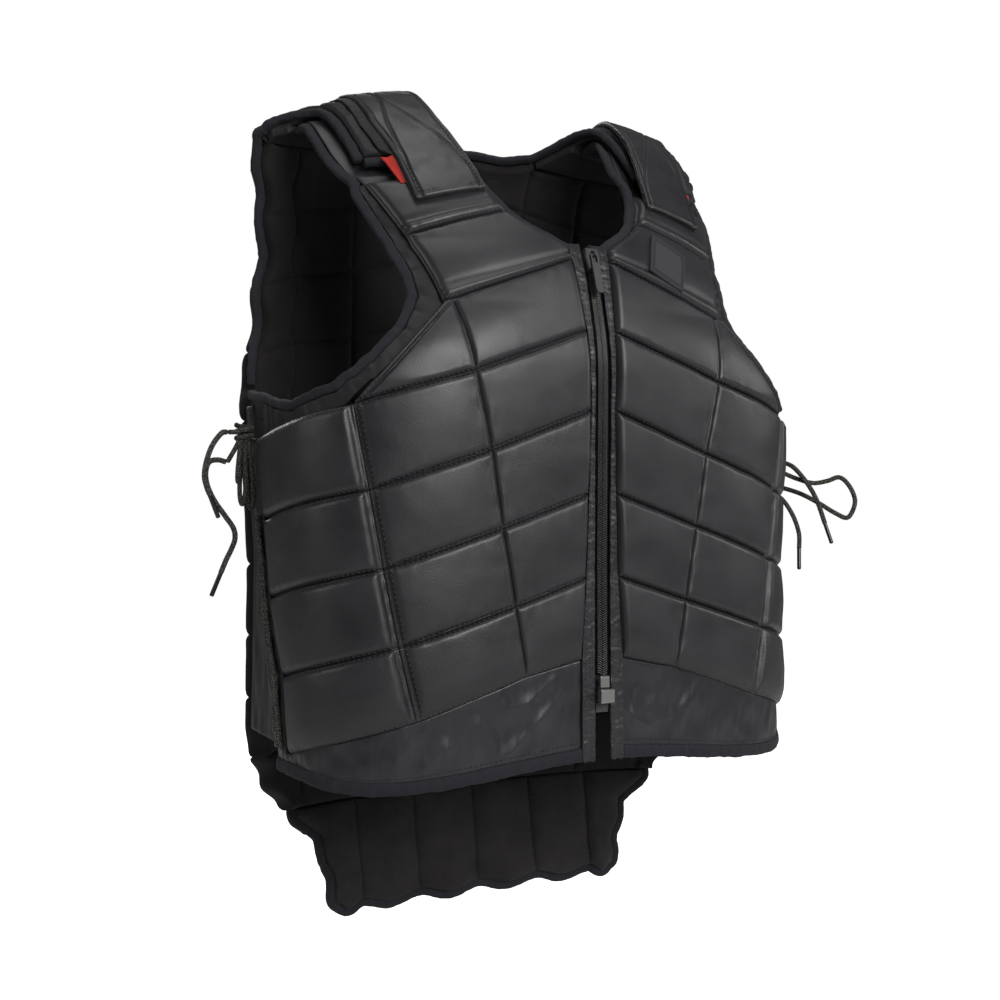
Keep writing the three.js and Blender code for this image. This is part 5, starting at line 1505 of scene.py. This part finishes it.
@dataclass
class Back(Piece):
    """The padded back with its tail and the bindings round the neck and the tail."""

    row_depth: float = 3.6
    lining_depth: float = 3.0

    def build(self) -> None:
        """Makes the back panel, the tail and their bindings."""
        self.build_panel()
        self.build_tail()
        self.build_neck()

    def build_panel(self) -> None:
        """The back panel, quilted in a grid of seams that dent the cloth and its lining."""
        row, column = np.meshgrid(stations(20, 10, 0.5), stations(22, 8, 0.5) - 4, indexing="ij")
        s, w = BACK.place(row, np.abs(column))
        sign = np.where(column < 0, -1.0, 1.0)
        d_row = np.abs(row - np.round(row)) * BACK.pitch
        d_column = np.abs(column - np.round(column)) * BACK.column
        border = np.minimum(np.minimum(row, 10 - row) * BACK.pitch, (4 - np.abs(column)) * BACK.column)
        seam = deepest(groove(d_row, self.row_depth, 0.5, 6.5), groove(d_column, self.row_depth, 0.4, 6.0))
        wave = 0.6 * ripple(column * 1.7, row * 1.9, 51) + 0.25 * ripple(column * 5.0, row * 6.0, 52)
        out = 1.4 - deepest(seam, groove(border, EDGE + 1.4, 0.3, 7.0)) + wave
        dent = deepest(groove(d_row, self.lining_depth, 0.4, 6.0), groove(d_column, self.lining_depth, 0.4, 6.0),
                       groove(border, EDGE, 0.3, 7.0))
        near = np.exp(-np.minimum(d_row, d_column) / 5.0)
        inner = -PAD + dent + 0.4 * near * ripple(column * 13, row * 13, 53) - 0.4 * wave
        self.panel("back_pad", FORM.back, s, w, (out, inner), sign, (Finish.LINING, "lining_black", "back_panel"), 0.8)

    @staticmethod
    def ruffle(down: Array, column: Array) -> Array:
        """How far the tail's free edge waves in and out: nothing at its root, most at its foot and sides."""
        edge = np.maximum(eased(down, 0.45, 1.0), 0.6 * eased(np.abs(column), 2.3, 3.0) * eased(down, 0.0, 0.4))
        return edge * (1.9 * np.sin(column * 4.4 + 0.8) + 1.2 * np.sin(down * 17.0 + column))

    def build_tail(self) -> None:
        """The tail: long padded channels, soft between their seams, with a wavy bound edge."""
        down, column = np.meshgrid(np.linspace(0, 1, 90), stations(44, 6, 0.4) - 3, indexing="ij")
        s, w = BACK.tail_place(down, np.abs(column))
        sign = np.where(column < 0, -1.0, 1.0)
        width = BACK.tail.read(down, "out") * FORM.back_girth / 3
        d_seam = np.abs(column - np.round(column)) * width
        border = np.minimum(np.minimum(down, 1 - down) * 76, (3 - np.abs(column)) * width)
        dent = deepest(groove(d_seam, 4.6, 0.3, 15.0), groove(border, 4.4, 0.3, 9.0))
        wave = 0.8 * ripple(column * 1.3, down * 3.0, 55) + 0.3 * ripple(column * 6.0, down * 9.0, 56)
        ruffle = self.ruffle(down, column)
        faces = (1.4 - dent + wave + ruffle, -15.0 + dent * 0.9 - wave * 0.7 + ruffle)
        self.panel("tail_pad", FORM.back, s, w, faces, sign, (Finish.TAIL_LINING, "lining_black", "back_tail"), 0.7)
        self.sew_tail()
        self.bind_tail()

    def sew_tail(self) -> None:
        """Stitches down the tail's seams, on its lining."""
        sewn = []
        for k in range(-2, 3):
            along = np.linspace(0.05, 0.95, 60)
            s, w = BACK.tail_place(along, np.full(60, abs(float(k))))
            line = pattern_line(FORM.back, s, w, -11.2 + self.ruffle(along, np.full(60, float(k))),
                                np.full(60, -1.0 if k < 0 else 1.0))
            sewn.append(np.column_stack([line[:, :3], -line[:, 3:]]))
        self.stitches("tail_stitches", sewn, finish=Finish.DARK_THREAD, slot="lining_black")

    def bind_tail(self) -> None:
        """The tape down one side of the tail, along its foot and up the other."""
        rise = np.linspace(0, 1, 40)
        across = np.linspace(3, -3, 220)[1:-1]
        down = np.concatenate([rise, np.ones(len(across)), rise[::-1]])
        place = np.concatenate([np.full(40, 3.0), np.abs(across), np.full(40, 3.0)])
        sign = np.concatenate([np.full(40, -1.0), np.where(across > 0, -1.0, 1.0), np.full(40, 1.0)])
        s, w = BACK.tail_place(down, place)
        line = pattern_line(FORM.back, s, w, self.ruffle(down, place * sign), sign)
        self.bound("tail_tape", line, -1, "tail_binding", 57, BINDING - np.array([0.9, 0.0]), 2.5)

    def build_neck(self) -> None:
        """The tape over both shoulders and round the back of the neck."""
        v = np.linspace(-BACK.flap_back + 2.6, BACK.flap_front, 120)
        x, v = BACK.flap_place(v, 0.0)
        lift = 3 * eased(v, -BACK.flap_back, -18)
        right = pattern_line(FORM.shoulder, x, v, lift, Side.RIGHT)[::-1]
        left = pattern_line(FORM.shoulder, x, v, lift, Side.LEFT)
        column = np.linspace(-0.55, 0.55, 50)
        s, w = BACK.place(np.full(50, 10.0), np.abs(column))
        middle = pattern_line(FORM.back, s, w + 2 * GAP, 0.0, np.where(column < 0, -1, 1))
        self.bound("back_neck_tape", np.vstack([right, middle, left]), 1, "neck_binding_back", 59, soften=5.0)


@dataclass
class Zip(Piece):
    """The front zip: ribbed tape, metal teeth, slider, pull, pins and box, and the tape's end."""

    top: float = 91.0
    below_foam: float = 19.0
    slider: float = 15.0
    teeth_pitch: float = 1.5
    teeth_lean: float = math.radians(24.0)

    def build(self) -> None:
        """Makes the tape, the teeth and the tape's end."""
        foot = float(FRONT.place(0.0, 0.0)[1]) - self.below_foam
        s, w = np.meshgrid(np.linspace(-8.5, 8.5, 28), np.linspace(foot, self.top, 330))
        self.build_strip("zip_cloth", s, w, -6.7 + 0.12 * np.sin(w * 3.0), (Finish.TAPE, "binding_grey", "zip_tape"))
        self.build_teeth(foot + 8.6, self.top - self.slider - 0.6)
        s, w = np.meshgrid(np.linspace(-4.6, 4.6, 16), np.linspace(foot - 16.0, foot - 9.8, 14))
        out = -4.2 + waves(s, w, (0.15, 2.0, 2.0, 15))
        self.build_strip("zip_end_tape", s, w, out, (Finish.GREY_TAPE, "binding_grey"))

    def build_strip(self, name: str, s: Array, w: Array, out: Array, look: Look) -> None:
        """A strip of tape across the front's middle, 1 mm thick; s is signed."""
        self.panel(name, FORM.front, np.abs(s), w, (out, out - 1.0), np.where(s < 0, -1.0, 1.0), look)

    def build_teeth(self, start: float, stop: float) -> None:
        """Two rows of leaning teeth, one row half a pitch above the other.

        Args:
            start: Height of the chain's foot.
            stop: Height of its top.
        """
        count = int((stop - start) / self.teeth_pitch)
        level = start + self.teeth_pitch * (np.arange(2 * count) + 0.5) / 2
        hand = np.where(np.arange(2 * count) % 2 == 0, 1.0, -1.0)
        point, normal = FORM.frames(FORM.front, np.full(len(level), 1.9), level)
        point[:, 0] *= hand
        normal[:, 0] *= hand
        along = np.stack([np.zeros(len(level)), -normal[:, 2], normal[:, 1]], -1)
        along = unit(along) * np.sign(along[:, 2:3])
        across = unit(np.cross(along, normal))
        lean = self.teeth_lean * hand[:, None]
        across, along = (across * np.cos(lean) + along * np.sin(lean), along * np.cos(lean) - across * np.sin(lean))
        ways = np.stack([across * 2.1, normal * 1.3, along * 0.44], 1)
        corner = np.array([(x, y, z) for x in (-1, 1) for y in (-1, 1) for z in (-1, 1)], float)
        corner[:, 0] *= np.where(corner[:, 1] > 0, 0.86, 1.0)
        corner[:, 2] *= np.where(corner[:, 1] > 0, 0.62, 1.0)
        box = np.array([(0, 1, 3, 2), (4, 6, 7, 5), (0, 4, 5, 1), (2, 3, 7, 6), (0, 2, 6, 4), (1, 5, 7, 3)])
        obj = Cloth.copies("zip_teeth", corner, box, point + normal * -4.6, ways, smooth=False)
        self.dress(obj, Finish.TEETH, "gunmetal", "zip_chain")

    def metal(self, frame: dict) -> None:
        """Gives the solid metal parts their finish and small bevels."""
        for node, finish, edge in (("zip_slider", Finish.GUNMETAL, 0.6), ("zip_pull", Finish.GUNMETAL, 0.45),
                                   ("zip_pins", Finish.PALE_METAL, 0.9), ("zip_box", Finish.PALE_METAL, 1.6)):
            obj = frame["nodes"][node]
            obj.data.materials.clear()
            obj.data.materials.append(finish.material())
            obj.modifiers.new("joined", "WELD").merge_threshold = 0.01 * MM
            bevel = obj.modifiers.new("edge", "BEVEL")
            bevel.width, bevel.segments, bevel.limit_method = edge * MM, 4, "ANGLE"


@dataclass
class Badge(Piece):
    """The square moulded badge, left bare: a raised rim round a flat field."""

    half: float = 15.0
    turn: float = -0.47
    out: float = 62.0
    up: float = 89.0

    def build(self) -> None:
        """Makes the badge with its rim and small rounded corners."""
        line = np.linspace(-1, 1, 61)
        u, v = np.meshgrid(line, line)
        soften = 1 - 0.035 * (u * v) ** 2
        a, b = (u + 0.1 - 0.08 * v) * self.half * soften, (v - 0.08) * 1.1 * self.half * soften
        s = self.out + a * math.cos(self.turn) - b * math.sin(self.turn)
        w = self.up + a * math.sin(self.turn) + b * math.cos(self.turn)
        inset = (1 - np.maximum(np.abs(u), np.abs(v))) * self.half
        groove_round = 2.0 * np.exp(-(((inset - 2.4) / 0.8) ** 2))
        rim = eased(inset, 0.0, 0.8) * 1.2 - groove_round - 0.5 * eased(inset, 2.4, 3.2)
        outer = FORM.lifted(FORM.front, s, w, 2.6 + rim, Side.LEFT)
        inner = FORM.lifted(FORM.front, s, w, 0.8 + 0 * rim, Side.LEFT)
        obj = Cloth.slab("bare_badge", outer, inner, np.stack([a, b], -1))
        self.dress(obj, Finish.RUBBER, "badge_rubber", "badge")


@dataclass
class Laces(Piece):
    """The side laces: the lacing drawn to and fro, the tied bows, and the free ends with their tips."""

    diameter: float = 3.6
    tip_length: float = 16.0
    tip_diameter: float = 3.1
    free: dict = field(default_factory=lambda: {
        "right_long": ((-211.5, -8, -240), (-216.9, -7, -238.5), (-222.9, -7, -240), (-225.4, -8, -247),
                       (-224.4, -9, -256), (-219.9, -10, -266), (-213.4, -11, -275.5), (-207.9, -12, -284),
                       (-206.9, -12, -291), (-209.4, -12, -298), (-212.9, -12, -305), (-216.4, -11, -314)),
        "right_short": ((-211.4, -10, -220), (-215.9, -12, -221), (-222.4, -14, -229), (-226.2, -14, -239),
                        (-227.8, -14, -248.7), (-226.2, -13, -256), (-223.9, -13, -262)),
        "left_long": ((212.4, -10, -226), (222, -22, -229), (232, -35, -235.5), (234.5, -48, -240.1),
                      (238.5, -60, -252.9), (241.8, -68, -267), (244.7, -74, -285)),
        "left_short": ((212.1, -8, -260), (217, -22, -260.5), (219.7, -36, -261), (219.5, -48, -263.2),
                       (220.9, -56, -269.4), (223.9, -62, -280.3), (225.5, -66, -292.7), (223.9, -68, -304.3)),
        "left_loop": ((212.4, -8, -236), (218.5, -22, -239), (228, -38, -243.5), (236.9, -50, -249.5),
                      (246.3, -58, -252.9), (255.4, -64, -251.3), (263, -70, -248.5), (269, -75, -256),
                      (272, -77.5, -268), (267.5, -74.5, -280), (260.1, -68, -276.6), (251, -58.5, -268.5),
                      (241, -46, -260.5), (228.5, -28, -254.5), (212.3, -8, -250)),
    })

    def tube(self, name: str, path: Array, diameter: float, sides: int = 14, braid: float = 0.1,
             ends: float = 0.6) -> bpy.types.Object:
        """A round cord along a path, its section turned as little as the path allows.

        The radius swells where the two sets of braid strands cross: the sine of eight turns round
        plus the run along, times the sine of eight turns round less the run along.

        Args:
            name: The object's name.
            path: Points in millimetres.
            diameter: The cord's thickness.
            sides: Corners of a section.
            braid: How far the strands swell it.
            ends: Radius left at both ends, as a share.

        Returns:
            The object.
        """
        run = even(path, 0.7)
        tangent = unit(np.gradient(run, axis=0))
        normal = np.zeros_like(run)
        normal[0] = unit(np.cross(tangent[0], (0.3, 0.9, 0.2)))
        for k in range(1, len(run)):
            normal[k] = unit(normal[k - 1] - tangent[k] * np.dot(normal[k - 1], tangent[k]))
        other = np.cross(tangent, normal)
        turn = np.linspace(0, 2 * math.pi, sides, endpoint=False)[None, :, None]
        along = (np.arange(len(run)) * 0.7)[:, None, None]
        swell = braid * np.sin(4 * turn + along * 1.6) * np.sin(4 * turn - along * 1.6)
        taper = np.ones(len(run))
        taper[[0, -1]] = ends
        radius = (diameter / 2 + swell) * taper[:, None, None]
        sections = run[:, None] + radius * (np.cos(turn) * normal[:, None] + np.sin(turn) * other[:, None])
        return Cloth.band(name, along[:, 0, 0], sections)

    def free_end(self, key: str) -> None:
        """One free lace end and, where it isn't the loop, the moulded tip on it."""
        path = spline(np.array(self.free[key], float), 24)
        obj = self.tube(f"lace_{key}_cord", path, self.diameter)
        self.dress(obj, Finish.LACE, "lace_black", f"lace_{key}")
        if key != "left_loop":
            way = unit(path[-1] - np.array(self.free[key][-2], float))
            share = np.linspace(0, 1, 24)[:, None]
            run = path[-1] + way * (GAP - 1.5 + (self.tip_length + 1.2) * share)
            tip = self.tube(f"tip_{key}", run, self.tip_diameter, 20, 0.0, 0.72)
            self.dress(tip, Finish.TIP, "aglet_black", f"aglet_{key}")

    def build_ends(self) -> None:
        """The five free runs of lace."""
        for key in self.free:
            self.free_end(key)

    def build_held(self) -> None:
        """The lacing and the bows on both sides."""
        for side in Side:
            row = np.linspace(3.05, 0.06, 90)
            cords = []
            for k, shift in enumerate((0.0, 3.3)):
                s, w = FRONT.lace_place(row, np.full(90, 0.2))
                weave = (k - 0.5) * np.cos(math.pi * row)
                p = s + shift * np.abs(np.cos(math.pi * (row - 0.5))) ** 0.5 + 1.2 - 0.4 * k
                points = FORM.lifted(FORM.side, p, w, 0.2 + 1.6 * weave, side)
                cords.append(self.tube(f"lacing_{side.word}_{k}", points, self.diameter))
            self.joined(cords, f"lacing_{side.word}")
            self.dress(cords[0], Finish.LACE, "lace_black", f"side_lacing_{side.word}")
            self.build_bow(side)

    def build_bow(self, side: Side) -> None:
        """A tied bow: loops and strands hanging from a knot of three turns."""
        x0, y0, top = 200.0, -11.0, -211.0
        parts = []
        for out, drop, lean in ((-4.3, 60, 2.4), (-1.4, 50, -2.2), (1.6, 57, 2.0), (4.4, 42, -2.2)):
            t = np.linspace(0, 2 * math.pi, 15)
            x = x0 + out * (0.35 + 0.65 * np.sin(t / 2)) + 1.5 * np.sin(t)
            z = top - 6 - (drop - 6) * np.sin(t / 2) ** 0.9
            parts.append(np.stack([side.value * x, y0 + lean * np.sin(t), z], -1))
        t = np.linspace(0, 5 * math.pi, 34)
        parts.append(np.stack([side.value * (x0 + 5.4 * np.cos(t)), y0 + 4.2 * np.sin(t), top - 4 - t * 0.7], -1))
        for key, points in self.free.items():
            if not key.startswith(side.word):
                continue
            for end in (points[0], points[-1]) if key == "left_loop" else (points[0],):
                last = np.array(end, float)
                knot = np.array((side.value * (x0 + 1.0), y0, top - 9.0))
                middle = lerp(knot, last, 0.5) + np.array((0.0, -3.0, 0.0))
                parts.append(np.vstack([knot, middle, last - np.array((side.value * 0.6, 0.0, 0.0))]))
        cords = [self.tube(f"bow_part_{side.word}_{k}", spline(p, 8), self.diameter * 0.92)
                 for k, p in enumerate(parts)]
        self.joined(cords, f"tied_bow_{side.word}")
        self.dress(cords[0], Finish.LACE, "lace_black", f"lace_bow_{side.word}")

    @staticmethod
    def joined(cords: Sequence[bpy.types.Object], name: str) -> None:
        """Joins tubes into the first of them, under a new name."""
        with bpy.context.temp_override(active_object=cords[0], selected_editable_objects=list(cords),
                                       selected_objects=list(cords), object=cords[0]):
            bpy.ops.object.join()
        cords[0].name = name


@dataclass
class Studio:
    """The camera at the photograph's angle, soft lights and a pale ground."""

    turn: float = math.radians(-27.1)
    rise: float = math.radians(0.4)
    distance: float = 0.982
    aim: Vector = field(default_factory=lambda: Vector((0.0035, 0.012, -0.266)))
    lens: float = 46.8
    floor: float = -720.0
    floor_radius: float = 7000.0
    floor_sides: int = 96

    def camera(self) -> None:
        """Places the camera and makes it the scene's."""
        back = Vector((math.sin(self.turn) * math.cos(self.rise), -math.cos(self.turn) * math.cos(self.rise),
                       math.sin(self.rise)))
        right = Vector((math.cos(self.turn), math.sin(self.turn), 0.0))
        up = back.cross(right)
        data = bpy.data.cameras.new("camera")
        data.lens, data.sensor_width = self.lens, 36.0
        obj = bpy.data.objects.new("camera", data)
        frame = Matrix((right, up, back)).transposed().to_4x4()
        obj.matrix_world = Matrix.Translation(self.aim + back * self.distance) @ frame
        bpy.context.scene.collection.objects.link(obj)
        bpy.context.scene.camera = obj

    def light(self, name: str, azimuth: float, height: float, far: float, size: float, watts: float) -> None:
        """A square area light that faces the vest.

        Args:
            name: The light's name.
            azimuth: Angle round the vest from its front, in degrees.
            height: Height in metres.
            far: Distance out from the middle, in metres.
            size: Its side, in metres.
            watts: Its power.
        """
        turn = math.radians(azimuth)
        place = Vector((math.sin(turn) * far, -math.cos(turn) * far, height))
        data = bpy.data.lights.new(name, "AREA")
        data.energy, data.size = watts, size
        obj = bpy.data.objects.new(name, data)
        obj.location = place
        obj.rotation_euler = (self.aim - place).to_track_quat("-Z", "Y").to_euler()
        bpy.context.scene.collection.objects.link(obj)

    @staticmethod
    def seen_white(tree: bpy.types.NodeTree, light: float) -> bpy.types.NodeSocket:
        """A strength that is 1 where the camera looks at it directly and the given light elsewhere."""
        path = tree.nodes.new("ShaderNodeLightPath")
        span = tree.nodes.new("ShaderNodeMapRange")
        span.inputs["To Min"].default_value, span.inputs["To Max"].default_value = light, 1.0
        tree.links.new(path.outputs["Is Camera Ray"], span.inputs["Value"])
        return span.outputs[0]

    def ground(self) -> None:
        """A pale round floor under the vest, as white in the picture as the air above it."""
        count, k = self.floor_sides, np.arange(self.floor_sides)
        turn = np.linspace(0, 2 * math.pi, count, endpoint=False)
        rim = [self.floor_radius * np.cos(turn), self.floor_radius * np.sin(turn), np.full(count, self.floor)]
        points = np.vstack([np.column_stack(rim), [(0.0, 0.0, self.floor)]])
        faces = np.stack([k, (k + 1) % count, np.full(count, count)], -1)
        obj = Cloth.mesh("ground", points, faces)
        material = bpy.data.materials.new("paper")
        material.use_nodes = True
        shader = material.node_tree.nodes["Principled BSDF"]
        shader.inputs["Base Color"].default_value = (0.6, 0.6, 0.6, 1)
        shader.inputs["Roughness"].default_value = 0.9
        shader.inputs["Emission Color"].default_value = (1, 1, 1, 1)
        material.node_tree.links.new(self.seen_white(material.node_tree, 0.02), shader.inputs["Emission Strength"])
        obj.data.materials.append(material)

    def build(self) -> None:
        """Sets camera, lights, ground, world and view."""
        self.camera()
        self.light("key", 4, 0.6, 1.9, 1.0, 33)
        self.light("left", -95, 0.3, 1.7, 0.8, 5)
        self.light("right", 62, 0.3, 1.8, 0.8, 8)
        self.light("top", -20, 1.7, 0.3, 1.0, 9)
        self.light("back", 178, 0.7, 2.0, 1.2, 26)
        self.ground()
        world = bpy.data.worlds.new("studio")
        world.use_nodes = True
        shade = world.node_tree.nodes["Background"]
        shade.inputs[0].default_value = (1.0, 1.0, 1.0, 1)
        world.node_tree.links.new(self.seen_white(world.node_tree, 0.07), shade.inputs[1])
        scene = bpy.context.scene
        scene.world = world
        scene.view_settings.view_transform = "Standard"


def main() -> None:
    """Builds the dressed vest in order."""
    logging.basicConfig(level=logging.INFO, format="%(name)s %(message)s")
    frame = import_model()
    Studio().build()
    laces = Laces()
    laces.build_ends()
    for side in Side:
        PaddedFront(side=side).build()
        FrontEdges(side=side).build()
        Shoulder(side=side).build()
    Back().build()
    zip_piece = Zip()
    zip_piece.build()
    zip_piece.metal(frame)
    Badge().build()
    laces.build_held()


if __name__ == "__main__":
    main()
